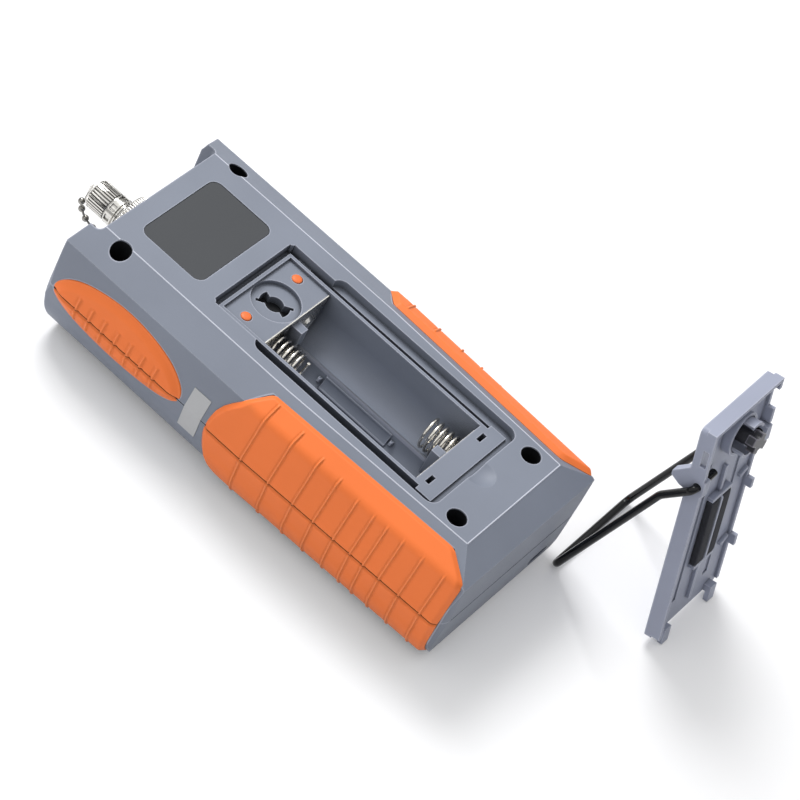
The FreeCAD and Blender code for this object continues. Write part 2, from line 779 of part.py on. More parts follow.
def make_connector():
    """Threaded optical adapter: flange, barrel with key slot, nut inside, and the split sleeve."""
    wall_y = recess_end_y
    axis = V(0, 1, 0)
    flange = Part.makeCylinder(flange_radius, flange_thickness, V(0, wall_y, connector_z), axis)
    flange = flange.common(box(-flange_radius, flange_radius, 0, 200, connector_z - 6.6, connector_z + 6.6))
    flange = flange.cut(Part.makeCylinder(barrel_radius + 0.05, 20, V(0, wall_y - 5, connector_z), axis))
    start = wall_y - wall - barrel_tail_length
    barrel = Part.makeCylinder(barrel_tail_radius, barrel_tail_length + wall, V(0, start, connector_z), axis)
    barrel = barrel.fuse(Part.makeCylinder(barrel_radius, barrel_length, V(0, wall_y, connector_z), axis))
    barrel = barrel.cut(Part.makeCylinder(barrel_bore, 60, V(0, start - 1, connector_z), axis))
    slot_y = wall_y + barrel_length - key_slot_length
    barrel = barrel.cut(box(-key_slot_width / 2, key_slot_width / 2, slot_y, 200, connector_z, connector_z + 10))
    rings = []
    y = wall_y + flange_thickness + 1.0
    while y < wall_y + cap_near_gap - 0.6:
        ring = Part.makeCylinder(barrel_radius + 1, 0.6, V(0, y, connector_z), axis)
        rings.append(ring.cut(Part.makeCylinder(barrel_radius - barrel_groove_depth, 0.6, V(0, y, connector_z), axis)))
        y += barrel_groove_pitch
    barrel = barrel.removeSplitter().cut(rings)
    nut_y = wall_y - wall - 4 - barrel_nut_thickness
    nut = Part.makeCylinder(barrel_nut_radius, barrel_nut_thickness, V(0, nut_y, connector_z), axis)
    nut = nut.cut(Part.makeCylinder(barrel_tail_radius + 0.05, 20, V(0, nut_y - 5, connector_z), axis))
    sleeve_y = wall_y + barrel_length - 1.5 - sleeve_length
    sleeve = Part.makeCylinder(sleeve_outer, sleeve_length, V(0, sleeve_y, connector_z), axis)
    sleeve = sleeve.cut(Part.makeCylinder(sleeve_bore, 60, V(0, sleeve_y - 5, connector_z), axis))
    sleeve = sleeve.cut(box(-0.2, 0.2, 0, 200, connector_z, connector_z + 5))
    hub = Part.makeCylinder(barrel_bore, 3.0, V(0, sleeve_y, connector_z), axis)
    hub = hub.cut(Part.makeCylinder(sleeve_outer + 0.03, 60, V(0, sleeve_y - 5, connector_z), axis))
    barrel = barrel.fuse(hub).removeSplitter()
    return flange, barrel, nut, sleeve


def make_cap():
    """Knurled dust cap: cup with fluted sides, a notched collar and a rimmed end."""
    axis = V(0, 1, 0)
    y0 = recess_end_y + cap_near_gap
    y1 = y0 + cap_length
    collar = Part.makeCylinder(cap_collar_radius, cap_collar_length, V(0, y0, connector_z), axis)
    half = cap_collar_flat
    collar = collar.common(box(-20, 20, 0, 200, connector_z - half, connector_z + half))
    notches = []
    for i in range(4):
        notch = box(-0.9, 0.9, y0 + 0.9, y0 + cap_collar_length + 0.1, connector_z + cap_collar_radius - 0.8,
                    connector_z + 10)
        notch.rotate(V(0, 0, connector_z), axis, 45 + 90 * i)
        notches.append(notch)
    collar = collar.cut(notches)
    neck = Part.makeCylinder(cap_collar_radius - 0.6, 0.5, V(0, y0 + cap_collar_length, connector_z), axis)
    body = Part.makeCylinder(cap_radius, y1 - y0 - cap_collar_length - 1.6,
                             V(0, y0 + cap_collar_length + 0.4, connector_z), axis)
    flutes = []
    for i in range(cap_flutes):
        angle = 2 * math.pi * i / cap_flutes
        at = V(cap_radius * math.cos(angle), y0 + cap_collar_length + 0.4, connector_z + cap_radius * math.sin(angle))
        flutes.append(Part.makeCylinder(cap_flute_radius, 30, at, axis))
    body = body.cut(flutes)
    rim = Part.makeCylinder(cap_radius - 0.35, 1.4, V(0, y1 - 1.4, connector_z), axis)
    cap = fuse_all(collar, [neck, body, rim])
    bore = Part.makeCylinder(barrel_radius + cap_thread_clearance, y1 - y0 - cap_wall_end,
                             V(0, y0 - 0.01, connector_z), axis)
    pin = Part.makeCylinder(swivel_pin_radius + swivel_clearance, 10, V(0, y1 - 5, connector_z), axis)
    return cap.cut(bore).cut(pin), y1


def chain_points(end_y):
    """Ball centres along the hanging chain: a parabola from the swivel down and back to the base ring."""
    start = V(0, end_y, connector_z - 1.6)
    stop_y = recess_end_y + flange_thickness + chain_ring_wire + chain_ball_radius + 0.02
    stop = V(-0.8, stop_y, connector_z - barrel_radius - 3.1)
    samples = []
    for i in range(401):
        t = i / 400
        sag = 4 * t * (1 - t)
        samples.append(V(start.x + (stop.x - start.x) * t + chain_sway * sag,
                         start.y + (stop.y - start.y) * t + 1.6 * sag * (1 - t),
                         start.z + (stop.z - start.z) * t - chain_drop * 0.72 * sag))
    lengths = [0.0]
    for a, b in zip(samples, samples[1:]):
        lengths.append(lengths[-1] + b.sub(a).Length)
    picked = []
    for i in range(chain_balls):
        target = lengths[-1] * i / (chain_balls - 1)
        nearest = min(range(len(lengths)), key=lambda k: abs(lengths[k] - target))
        picked.append(samples[nearest])
    return picked


def make_chain(cap_end_y):
    """Swivel on the cap's end, ball chain and the ring that holds it at the connector's base."""
    axis = V(0, 1, 0)
    head = Part.makeCylinder(swivel_head_radius, swivel_head_thickness, V(0, cap_end_y + 0.15, connector_z), axis)
    pin = Part.makeCylinder(swivel_pin_radius, swivel_pin_length, V(0, cap_end_y + 0.2 - swivel_pin_length, connector_z),
                            axis)
    head_y = cap_end_y + 0.15 + swivel_head_thickness
    tab = box(-0.7, 0.7, head_y - 0.3, head_y + 0.9, connector_z - 2.3, connector_z + 1.0)
    swivel = fuse_all(head, [pin, tab])
    points = chain_points(head_y + 0.9 + chain_ball_radius)
    pieces = [Part.makeSphere(chain_ball_radius, p) for p in points[1:]]
    pieces += [rod(chain_rod_radius, a, b) for a, b in zip(points[1:], points[2:])]
    link = rod(chain_rod_radius, V(0, head_y + 0.9 + chain_link_gap, connector_z - 1.6), points[1])
    chain = fuse_all(pieces[0], pieces[1:] + [link])
    ring_y = recess_end_y + flange_thickness
    ring_r = barrel_radius + 0.05
    ring = Part.makeCylinder(ring_r + 1.6, chain_ring_wire, V(0, ring_y, connector_z), axis)
    ring = ring.fuse(box(-1.6, 0, ring_y, ring_y + chain_ring_wire, connector_z - ring_r - 3.6, connector_z - ring_r))
    ring = ring.removeSplitter().cut(Part.makeCylinder(ring_r, 5, V(0, ring_y - 1, connector_z), axis))
    return swivel, chain, ring


def make_detector():
    """Photodiode can in its holder, screwed on behind the adapter."""
    axis = V(0, 1, 0)
    tail_start = recess_end_y - wall - barrel_tail_length
    holder = Part.makeCylinder(detector_holder_radius, detector_holder_length,
                               V(0, tail_start - detector_holder_length, connector_z), axis)
    holder = holder.cut(Part.makeCylinder(detector_radius + 0.05, 60, V(0, tail_start - 30, connector_z), axis))
    can = Part.makeCylinder(detector_radius, detector_length, V(0, tail_start - detector_length - 0.5, connector_z), axis)
    can = can.fuse(Part.makeCylinder(detector_radius - 0.6, 0.3, V(0, tail_start - 0.5, connector_z), axis))
    legs = [rod(0.22, V(x, tail_start - detector_length - 9, connector_z), V(x, tail_start - detector_length - 0.4, connector_z))
            for x in (-1.0, 1.0)]
    return holder, fuse_all(can, legs)


def make_board():
    """Circuit board and its four screws."""
    board = rounded_plate(-board_half_width, board_half_width, board_bottom_y, board_top_y, 2.0, board_z,
                          board_z + board_thickness)
    cuts = []
    for x, y in screw_places():
        cuts.append(Part.makeCylinder(screw_boss_radius + 0.4, 60, V(x, y, 0)))
    screws = []
    for y in board_screw_y:
        for side in (-1, 1):
            x = side * board_screw_x
            cuts.append(Part.makeCylinder(board_screw_radius + 0.2, 60, V(x, y, 0)))
            screw = Part.makeCylinder(board_screw_radius, board_thickness + 4.0, V(x, y, board_z - 4.0))
            head = Part.makeCylinder(board_screw_head, board_screw_head_height, V(x, y, board_z + board_thickness))
            slot = box(x - 1.4, x + 1.4, y - 0.25, y + 0.25, board_z + board_thickness + 0.6, 60)
            screws.append(screw.fuse(head).removeSplitter().cut(slot))
    top = board_z + board_thickness
    chips = [box(x0, x1, y0, y1, top, top + height) for x0, x1, y0, y1, height in board_chips]
    return fuse_all(board.cut(cuts), chips), Part.makeCompound(screws)


def make_front_trim():
    """Overlay film, display window and display module."""
    overlay = rounded_plate(-overlay_half_width + 0.15, overlay_half_width - 0.15, overlay_bottom_y + 0.15,
                            overlay_top_y - 0.15, overlay_corner - 0.15, overlay_depth - overlay_thickness, overlay_depth)
    cuts = [rounded_plate(-window_half_width, window_half_width, window_bottom_y, window_top_y, window_corner, -5, 5)]
    for _, (x, y) in key_places():
        half_w, half_h = key_half_width + key_clearance, key_half_height + key_clearance
        cuts.append(rounded_plate(x - half_w, x + half_w, y - half_h, y + half_h, key_corner + key_clearance, -5, 5))
    overlay = overlay.cut(cuts)
    gap = 0.12
    window = rounded_plate(-window_half_width + gap, window_half_width - gap, window_bottom_y + gap,
                           window_top_y - gap, window_corner - gap, window_recess,
                           overlay_depth + window_thickness)
    z0 = overlay_depth + window_thickness + window_ledge
    frame = rounded_plate(-window_half_width - 1.5, window_half_width + 1.5, window_bottom_y - 1.5, window_top_y + 1.5,
                          1.5, z0, z0 + display_thickness)
    inset = display_glass_inset
    glass = box(-window_half_width + inset, window_half_width - inset, window_bottom_y + inset, window_top_y - inset,
                z0 - 0.9, z0 + display_frame)
    frame = frame.cut(glass)
    post_z = z0 + display_thickness
    posts = [box(x - 1, x + 1, y - 1, y + 1, post_z, board_z)
             for x in (-16, 16) for y in (window_bottom_y + 4, window_top_y - 4)] if post_z < board_z else []
    return overlay, window, fuse_all(frame, posts) if posts else frame, glass


def make_key(x, y):
    """One key: cap through the front wall, flange that keeps it in, and a short stem."""
    cap = rounded_plate(x - key_half_width, x + key_half_width, y - key_half_height, y + key_half_height,
                        key_corner, key_recess, wall + 0.3)
    edges = [e for e in cap.Edges if e.BoundBox.ZMax < key_recess + 1e-6]
    cap = cap.makeChamfer(0.35, edges)
    half_w, half_h = key_half_width + key_flange, key_half_height + key_flange
    flange = rounded_plate(x - half_w, x + half_w, y - half_h, y + half_h, key_corner + 0.5, wall + 0.3,
                           wall + 0.3 + key_flange_thickness)
    stem = Part.makeCylinder(key_stem_radius, 0.5, V(x, y, wall + 0.3 + key_flange_thickness))
    return fuse_all(cap, [flange, stem])


def make_keypad():
    """Rubber mat with a dome under each key, lying on the board."""
    z1 = board_z
    z0 = board_z - mat_thickness
    xs = max(key_columns) + key_half_width + 3
    mat = rounded_plate(-xs, xs, min(key_rows) - 8, max(key_rows) + 7, 2.0, z0, z1)
    top = wall + 0.3 + key_flange_thickness + 0.5 + key_travel + 0.1
    domes = [Part.makeCone(dome_radius, dome_radius - 0.7, z0 - top, V(x, y, z0), V(0, 0, -1))
             for _, (x, y) in key_places()]
    return fuse_all(mat, domes)


def make_port():
    """Small socket on the board behind the port opening."""
    z0 = board_z - port_height
    y1 = bottom_y + 2.6
    socket = box(port_x - port_half_width, port_x + port_half_width, y1, y1 + port_depth, z0, z0 + port_height)
    hole = box(port_x - port_half_width + 0.5, port_x + port_half_width - 0.5, y1 - 1, y1 + port_depth - 1.5,
               z0 + 0.5, z0 + port_height - 0.5)
    tongue = box(port_x - 2.2, port_x + 2.2, y1 + 0.6, y1 + port_depth - 1.0, z0 + 1.3, z0 + 1.9)
    return socket.cut(hole).fuse(tongue).removeSplitter()


def cover_pose():
    """Lean, place along Y and lift of the cover, with its hook tips and the opened stand's foot on the surface."""
    opened = math.radians(stand_open_angle)
    knee = math.radians(knee_angle)
    out = knee_length * math.sin(knee)
    length = knee_length * math.cos(knee) + leg_length
    foot_y = -hinge_depth + out * math.cos(opened) + length * math.sin(opened)
    foot_h = hinge_h + out * math.sin(opened) - length * math.cos(opened)
    apart_y, apart_h = foot_y + hook_plate_depth, -hook_length - foot_h
    turn = math.atan2(apart_y, apart_h) - math.acos(-wire_radius / math.hypot(apart_y, apart_h))
    lift = hook_length * math.cos(turn) - hook_plate_depth * math.sin(turn)
    foot_reach = foot_y * math.cos(turn) + foot_h * math.sin(turn) + wire_radius
    return math.degrees(turn), bottom_y - stand_foot_gap - foot_reach, lift


def lean(shape):
    """Put a shape from the cover's own frame where the cover stands, leant back on its stand."""
    turn, place_y, lift = cover_pose()
    placed = shape.copy()
    placed.rotate(V(0, 0, 0), V(1, 0, 0), -turn)
    placed.translate(V(cover_x, place_y, lift))
    return placed


def make_cover():
    """Battery cover: plate with rims, hooks, lock boss, guide walls, stiffening ribs and stand lugs."""
    plate = box(-cover_half_width, cover_half_width, 0, cover_thickness, 0, cover_height)
    edges = [e for e in plate.Edges if abs(e.Vertexes[0].Y - e.Vertexes[1].Y) > 1]
    plate = plate.makeFillet(cover_corner, edges)
    inner = cover_half_width - rim_thickness
    adds = [box(-cover_half_width, cover_half_width, -rim_height, 0, cover_height - rim_thickness, cover_height),
            box(-cover_half_width, -inner, -rim_height, 0, 1.5, cover_height - 0.2),
            box(inner, cover_half_width, -rim_low, 0, 1.5, cover_height - 0.2)]
    for low, high in right_rim_tabs:
        adds.append(box(inner, cover_half_width, -rim_height, 0, low, high))
    adds.append(box(-centre_rib_half, centre_rib_half, -centre_rib_height, 0, centre_rib_h[0], centre_rib_h[1]))
    for h in cross_rib_h:
        adds.append(box(-pad_x[1], pad_x[1], -cross_rib_height, 0, h - 0.6, h + 0.6))
    for side in (-1, 1):
        for h in stub_h:
            stub = box(-stub_half_length, stub_half_length, -1.1, 0, -stub_half_width, stub_half_width)
            stub.rotate(V(0, 0, 0), V(0, 1, 0), -20)
            stub.translate(V(side * stub_x, 0, h))
            adds.append(stub)
        x = side * hook_x
        adds.append(box(x - hook_half_width, x + hook_half_width, -hook_plate - hook_plate_depth, 0.2, 0.3, 2.6))
        adds.append(box(x - hook_half_width, x + hook_half_width, -hook_plate - hook_plate_depth, -hook_plate_depth,
                         -hook_length, 2.6))
        lug = polygon_prism([V(0, -hinge_depth - wire_radius - 1.0, hinge_h - 2.6),
                             V(0, 0, hinge_h - 3.4),
                             V(0, cover_thickness + 2.2, hinge_h - 2.4),
                             V(0, cover_thickness + lug_reach, hinge_h - 0.6),
                             V(0, cover_thickness + lug_reach, hinge_h + 0.9),
                             V(0, cover_thickness, hinge_h + 5.2),
                             V(0, 0, hinge_h + 3.2),
                             V(0, -hinge_depth - wire_radius - 1.0, hinge_h + 2.6)], V(2 * lug_half_width, 0, 0))
        lug.translate(V(side * lug_x - lug_half_width, 0, 0))
        adds.append(lug)
    ring = Part.makeCylinder(boss_outer, boss_height, V(0, 0, boss_h), V(0, -1, 0))
    adds.append(ring)
    cover = fuse_all(plate, adds)
    cuts = [Part.makeCylinder(boss_inner, 30, V(0, 0, boss_h), V(0, -1, 0)),
            Part.makeCylinder(lock_shaft_radius + lock_clearance, 40, V(0, 20, boss_h), V(0, -1, 0)),
            Part.makeCylinder(lock_head_radius + lock_clearance, lock_head_depth + 5,
                              V(0, cover_thickness - lock_head_depth, boss_h), V(0, 1, 0)),
            box(-cover_half_width - 1, -inner + 0.01, -rim_height + 0.8, -0.4, left_rim_window[0], left_rim_window[1])]
    for side in (-1, 1):
        cuts.append(rod(wire_radius + wire_clearance, V(side * 12, -hinge_depth, hinge_h),
                        V(side * 30, -hinge_depth, hinge_h)))
        x0, x1 = sorted((side * slot_inner_x, side * (lug_x - lug_half_width)))
        cuts.append(box(x0, x1, -5, 5, hinge_h - notch_half, hinge_h + notch_half))
        cuts.append(box(side * swage_x - swage_half, side * swage_x + swage_half, -1, swage_depth, swage_h[0],
                         hinge_h - notch_half - 2.0))
    cover = cover.cut(cuts)
    guides = []
    for turn in (30, 210):
        wedge = Part.makeCylinder(guide_outer, guide_height, V(0, 0, 0), V(0, 0, 1), 2 * guide_half_angle)
        wedge = wedge.cut(Part.makeCylinder(guide_inner, guide_height + 2, V(0, 0, -1)))
        wedge.rotate(V(0, 0, 0), V(0, 0, 1), turn)
        wedge.rotate(V(0, 0, 0), V(1, 0, 0), 90)
        wedge.translate(V(0, 0.2, boss_h))
        guides.append(wedge)
    return fuse_all(cover, guides)


def make_cover_lock():
    """Quarter-turn lock: slotted head outside, shaft through the cover, two crossed lugs inside."""
    outer_y = cover_thickness - 0.1
    head_y = cover_thickness - lock_head_depth + 0.1
    head = Part.makeCylinder(lock_head_radius, outer_y - head_y, V(0, head_y, boss_h), V(0, 1, 0))
    head = head.cut(box(-lock_head_radius + 0.8, lock_head_radius - 0.8, outer_y - lock_slot_depth, 5,
                         boss_h - lock_slot_width / 2, boss_h + lock_slot_width / 2))
    shaft = Part.makeCylinder(lock_shaft_radius, lock_length, V(0, head_y + 0.1, boss_h), V(0, -1, 0))
    lock = [shaft]
    tip = head_y + 0.1 - lock_length
    for turn, reach in ((0, lock_lug_reach), (90, lock_lug_reach - 1.2)):
        lug = box(-reach, reach, tip, tip + lock_lug_height, -lock_lug_half, lock_lug_half)
        lug.rotate(V(0, 0, 0), V(0, 1, 0), turn + 35)
        lug.translate(V(0, 0, boss_h))
        lock.append(lug)
    return fuse_all(head, lock)


def make_pads():
    """Two foam pads beside the centre rib that press on the cells."""
    pads = []
    for side in (-1, 1):
        x0, x1 = sorted((side * pad_x[0], side * pad_x[1]))
        pads.append(box(x0, x1, -pad_thickness, 0, pad_h[0], pad_h[1]))
    return Part.makeCompound(pads)


def make_stand():
    """Bent wire stand, folded flat in its own plane and then opened to its stop."""
    knee = math.radians(knee_angle)
    drop = knee_length * math.cos(knee)
    out = knee_length * math.sin(knee)
    foot = -drop - leg_length
    spots = [V(-pin_inner_x, 0, 0), V(-leg_x, 0, 0), V(-leg_x, out, -drop), V(-leg_x, out, foot),
             V(leg_x, out, foot), V(leg_x, out, -drop), V(leg_x, 0, 0), V(pin_inner_x, 0, 0)]
    radii = [0, 1.6, 6.0, wire_bend, wire_bend, 6.0, 1.6, 0]
    edges = []
    last = spots[0]
    for i in range(1, len(spots) - 1):
        before = spots[i - 1].sub(spots[i]).normalize()
        after = spots[i + 1].sub(spots[i]).normalize()
        half = before.getAngle(after) / 2
        reach = radii[i] / math.tan(half)
        start = spots[i] + before * reach
        end = spots[i] + after * reach
        bisector = (before + after).normalize()
        middle = spots[i] + bisector * (radii[i] / math.sin(half) - radii[i])
        edges.append(Part.makeLine(last, start))
        edges.append(Part.Arc(start, middle, end).toShape())
        last = end
    edges.append(Part.makeLine(last, spots[-1]))
    path = Part.Wire(edges)
    ring = Part.Wire(Part.makeCircle(wire_radius, spots[0], V(-1, 0, 0)))
    wire = path.makePipeShell([ring], True, False)
    wire.rotate(V(0, 0, 0), V(1, 0, 0), stand_open_angle)
    wire.translate(V(0, -hinge_depth, hinge_h))
    return wire


def build():
    """All nodes of the part by name."""
    block = housing_block(0)
    hollow = cavity()
    grips, zones = make_grips()
    core = housing_block(-grip_bed)
    beds = [zone.cut(core) for zone in zones]
    nodes = dict(grips)
    nodes["rear_shell"] = make_rear_shell(block, hollow, beds)
    nodes["front_shell"] = make_front_shell(block, hollow, beds)
    nodes["rating_label"], nodes["seal_label"] = make_labels()
    nodes["case_screws"] = make_case_screws()
    nodes["lock_marks"] = make_lock_marks()
    nodes["spring_upper"] = make_spring(-channel_x, bay_top_y - contact_thickness, -1)
    nodes["spring_lower"] = make_spring(channel_x, bay_bottom_y + contact_thickness, 1)
    nodes["contact_upper"], nodes["contact_lower"] = make_contacts()
    nodes["adapter_flange"], nodes["adapter_barrel"], nodes["adapter_nut"], nodes["split_sleeve"] = make_connector()
    nodes["dust_cap"], cap_end = make_cap()
    nodes["cap_swivel"], nodes["ball_chain"], nodes["chain_ring"] = make_chain(cap_end)
    nodes["detector_holder"], nodes["detector"] = make_detector()
    nodes["circuit_board"], nodes["board_screws"] = make_board()
    nodes["front_overlay"], nodes["display_window"], nodes["display_frame"], nodes["display_glass"] = make_front_trim()
    for name, (x, y) in key_places():
        nodes["key_" + name] = make_key(x, y)
    nodes["keypad_mat"] = make_keypad()
    nodes["port_socket"] = make_port()
    nodes["battery_cover"] = lean(make_cover())
    nodes["cover_lock"] = lean(make_cover_lock())
    nodes["cover_pads"] = lean(make_pads())
    nodes["stand_bail"] = lean(make_stand())
    return nodes


os.makedirs("parts", exist_ok=True)
for node, shape in build().items():
    print(node, "solids", len(shape.Solids), "valid", shape.isValid(), "volume", round(shape.Volume, 1))
    shape.exportStep("parts/" + node + ".step")
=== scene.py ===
import math
import bmesh
import bpy
import numpy as np
from mathutils import Matrix, Vector


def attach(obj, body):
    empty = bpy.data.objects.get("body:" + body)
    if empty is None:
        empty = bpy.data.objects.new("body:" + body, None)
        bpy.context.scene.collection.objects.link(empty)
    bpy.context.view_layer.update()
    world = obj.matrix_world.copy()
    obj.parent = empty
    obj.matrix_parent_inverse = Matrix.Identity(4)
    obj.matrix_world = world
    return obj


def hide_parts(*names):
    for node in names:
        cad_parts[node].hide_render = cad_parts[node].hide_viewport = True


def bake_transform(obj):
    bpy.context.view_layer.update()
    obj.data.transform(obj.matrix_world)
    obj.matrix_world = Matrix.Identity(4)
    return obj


# Optical power meter lying face down, its battery cover standing beside it. Metres, in the frame of the
# solids. Shapes are worked out in millimetres and scaled when they become meshes.

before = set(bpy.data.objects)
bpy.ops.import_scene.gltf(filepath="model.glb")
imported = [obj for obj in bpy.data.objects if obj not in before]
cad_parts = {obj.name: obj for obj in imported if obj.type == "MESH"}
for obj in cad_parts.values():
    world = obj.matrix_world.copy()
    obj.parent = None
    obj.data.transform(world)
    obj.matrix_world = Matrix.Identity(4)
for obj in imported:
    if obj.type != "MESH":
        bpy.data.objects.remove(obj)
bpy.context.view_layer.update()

# Camera: a long lens from the upper left of the meter's back, rolled so that the meter runs down to the
# right. Its place, aim and roll were fitted to the corners, creases and screw holes in the photograph.
CAMERA_PLACE = Vector((-0.66697, -0.21883, 0.77134))
CAMERA_AIM = Vector((0.018773, -0.016523, 0.020))
CAMERA_ROLL = -29.618
CAMERA_LENS = 164.95
camera = bpy.data.cameras.new("camera")
camera.lens = CAMERA_LENS
camera.sensor_width = 36.0
camera.clip_start = 0.05
camera.clip_end = 20.0
camera_obj = bpy.data.objects.new("camera", camera)
bpy.context.scene.collection.objects.link(camera_obj)
look = (CAMERA_AIM - CAMERA_PLACE).normalized()
camera_side = look.cross(Vector((0, 0, 1))).normalized()
camera_up = Matrix.Rotation(math.radians(CAMERA_ROLL), 3, look) @ camera_side.cross(look)
axes = Matrix((look.cross(camera_up), camera_up, -look)).transposed().to_4x4()
camera_obj.matrix_world = Matrix.Translation(CAMERA_PLACE) @ axes
bpy.context.scene.camera = camera_obj
bpy.context.scene.view_settings.view_transform = "Standard"


# Case: two injection-moulded ABS shells, blue-grey, with a fine spark-eroded grain, screwed together from
# behind. Their slightly rounded edges catch the light and get a painted highlight as well, and their
# corners, joints and hollows get painted shade.

# Noise cells per metre at a grain of 1 mm. The coarsest cell is nearly three grains wide and the finest
# less than one, because the grain alone is too fine to show in the render.
GRAIN_CELLS = 350.0
GRAIN_DEPTH = 0.0003
GLOSS_SPREAD = (-0.06, 0.08)
# Mottling left by the flow of the melt, in patches about 29 mm across.
FLOW_CELLS = 35.0
# How far the painted rim highlight, the painted corner shade and the painted hollow shade reach, in metres,
# and between which open shares of a point's surroundings each fades out. Then the share of the highlight
# colour in a full rim, and the share of its own colour that a plastic keeps in full painted shade.
RIM_REACH, RIM_FADE = 0.00045, (0.6, 0.92)
CORNER_REACH, CORNER_FADE = 0.0016, (0.3, 0.85)
HOLLOW_REACH, HOLLOW_FADE = 0.009, (0.15, 0.7)
FULL_RIM = 0.62
FULL_SHADE = 0.12
# Values of a noise between which it carries a colour or a gloss from one end to the other.
NOISE_RANGE = (0.3, 0.7)


def srgb(code):
    """Linear RGBA from a hex colour."""
    parts = [int(code[i:i + 2], 16) / 255 for i in (1, 3, 5)]
    return [p / 12.92 if p <= 0.04045 else ((p + 0.055) / 1.055) ** 2.4 for p in parts] + [1.0]


def add_node(tree, kind, inputs=None, **settings):
    """New shader node with its settings, and its inputs, by name or number, set to a value or linked."""
    node = tree.nodes.new("ShaderNode" + kind)
    for name, value in settings.items():
        setattr(node, name, value)
    for name, value in (inputs or {}).items():
        if isinstance(value, bpy.types.NodeSocket):
            tree.links.new(value, node.inputs[name])
        else:
            node.inputs[name].default_value = value
    return node


def mixed(tree, factor, low, high):
    """Colour between low and high by a factor; each may be a colour or a socket."""
    return add_node(tree, "Mix", {0: factor, 6: low, 7: high}, data_type="RGBA").outputs[2]


def scaled(tree, value, from_low, from_high, to_low, to_high):
    """Value carried from one range to another and held at its ends."""
    return add_node(tree, "MapRange", {"Value": value, "From Min": from_low, "From Max": from_high,
                                       "To Min": to_low, "To Max": to_high}).outputs["Result"]


def new_material(name):
    """Empty node material with its output and a principled shader."""
    mat = bpy.data.materials.new(name)
    mat.use_nodes = True
    tree = mat.node_tree
    tree.nodes.clear()
    shader = add_node(tree, "BsdfPrincipled")
    out = add_node(tree, "OutputMaterial")
    tree.links.new(shader.outputs["BSDF"], out.inputs["Surface"])
    return mat, tree, shader


def grained(tree, shader, tint, grain, rough, relief, edge):
    """Gives a shader its colour, a grain of a size in millimetres in gloss and relief, and soft edges."""
    place = add_node(tree, "TexCoord").outputs["Object"]
    noise = add_node(tree, "TexNoise", {"Vector": place, "Scale": GRAIN_CELLS / grain, "Detail": 2.0})
    speck = noise.outputs["Fac"]
    tree.links.new(tint, shader.inputs["Base Color"])
    shiny, dull = [rough + spread for spread in GLOSS_SPREAD]
    tree.links.new(scaled(tree, speck, 0, 1, shiny, dull), shader.inputs["Roughness"])
    soft = add_node(tree, "Bevel", {"Radius": edge / 1000}, samples=4)
    bump = add_node(tree, "Bump", {"Height": speck, "Strength": relief, "Distance": grain * GRAIN_DEPTH,
                                   "Normal": soft.outputs["Normal"]})
    tree.links.new(bump.outputs["Normal"], shader.inputs["Normal"])


def moulded(name, colour, painted_rim=None, rough=0.5, grain=0.22, relief=0.25, edge=0.3, mottle=0.05, shade=0.55,
            deep=0.0, gloss=0.3, even=None):
    """Moulded plastic, rubber, foam or film: mottled, with painted corner shade and painted rim highlights.

    Deep is how far the colour falls to painted shade in deep hollows, and an even colour is what other
    surfaces receive from this one as bounced light.
    """
    mat, tree, shader = new_material(name)
    place = add_node(tree, "TexCoord").outputs["Object"]
    cloud = add_node(tree, "TexNoise", {"Vector": place, "Scale": FLOW_CELLS, "Detail": 3.0}).outputs["Fac"]
    base = srgb(colour)
    shares = (1 - mottle, 1 + mottle, FULL_SHADE)
    low, high, dark = [[min(1.0, c * share) for c in base[:3]] + [1.0] for share in shares]
    tint = mixed(tree, scaled(tree, cloud, *NOISE_RANGE, 0, 1), low, high)
    # Painted highlight: a lighter colour on convex edges, where rays into the solid soon meet its other
    # face.
    if painted_rim:
        inner = add_node(tree, "AmbientOcclusion", {"Distance": RIM_REACH}, samples=6, inside=True,
                         only_local=True).outputs["AO"]
        tint = mixed(tree, scaled(tree, inner, *RIM_FADE, FULL_RIM, 0), tint, srgb(painted_rim))
    # Painted shade: a darker colour in corners and, with deep, in hollows, where little of the room is open.
    if shade:
        corner = add_node(tree, "AmbientOcclusion", {"Distance": CORNER_REACH}, samples=6).outputs["AO"]
        tint = mixed(tree, scaled(tree, corner, *CORNER_FADE, shade, 0), tint, dark)
    if deep:
        hollow = add_node(tree, "AmbientOcclusion", {"Distance": HOLLOW_REACH}, samples=6).outputs["AO"]
        tint = mixed(tree, scaled(tree, hollow, *HOLLOW_FADE, deep, 0), tint, dark)
    if even:
        tint = mixed(tree, add_node(tree, "LightPath").outputs["Is Diffuse Ray"], tint, srgb(even))
    grained(tree, shader, tint, grain, rough, relief, edge)
    shader.inputs["Specular IOR Level"].default_value = gloss
    return mat


def dress(material, *names):
    """Gives solids of the frame their material."""
    for name in names:
        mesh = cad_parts[name].data
        mesh.materials.clear()
        mesh.materials.append(material)


def sheet_of(points, wrap_columns=False):
    """Points and quads of a grid of points, joined row by row, and round each row where it wraps."""
    index = np.arange(points.shape[0] * points.shape[1]).reshape(points.shape[:2])
    if wrap_columns:
        index = np.hstack([index, index[:, :1]])
    corners = [index[:-1, :-1], index[1:, :-1], index[1:, 1:], index[:-1, 1:]]
    return points.reshape(-1, 3), np.stack(corners, axis=-1).reshape(-1, 4)


def joined(shapes):
    """Several shapes, each points and quads, as one."""
    starts = np.cumsum([0] + [len(points) for points, quads in shapes])
    return (np.vstack([points for points, quads in shapes]),
            np.vstack([quads + start for (points, quads), start in zip(shapes, starts)]))


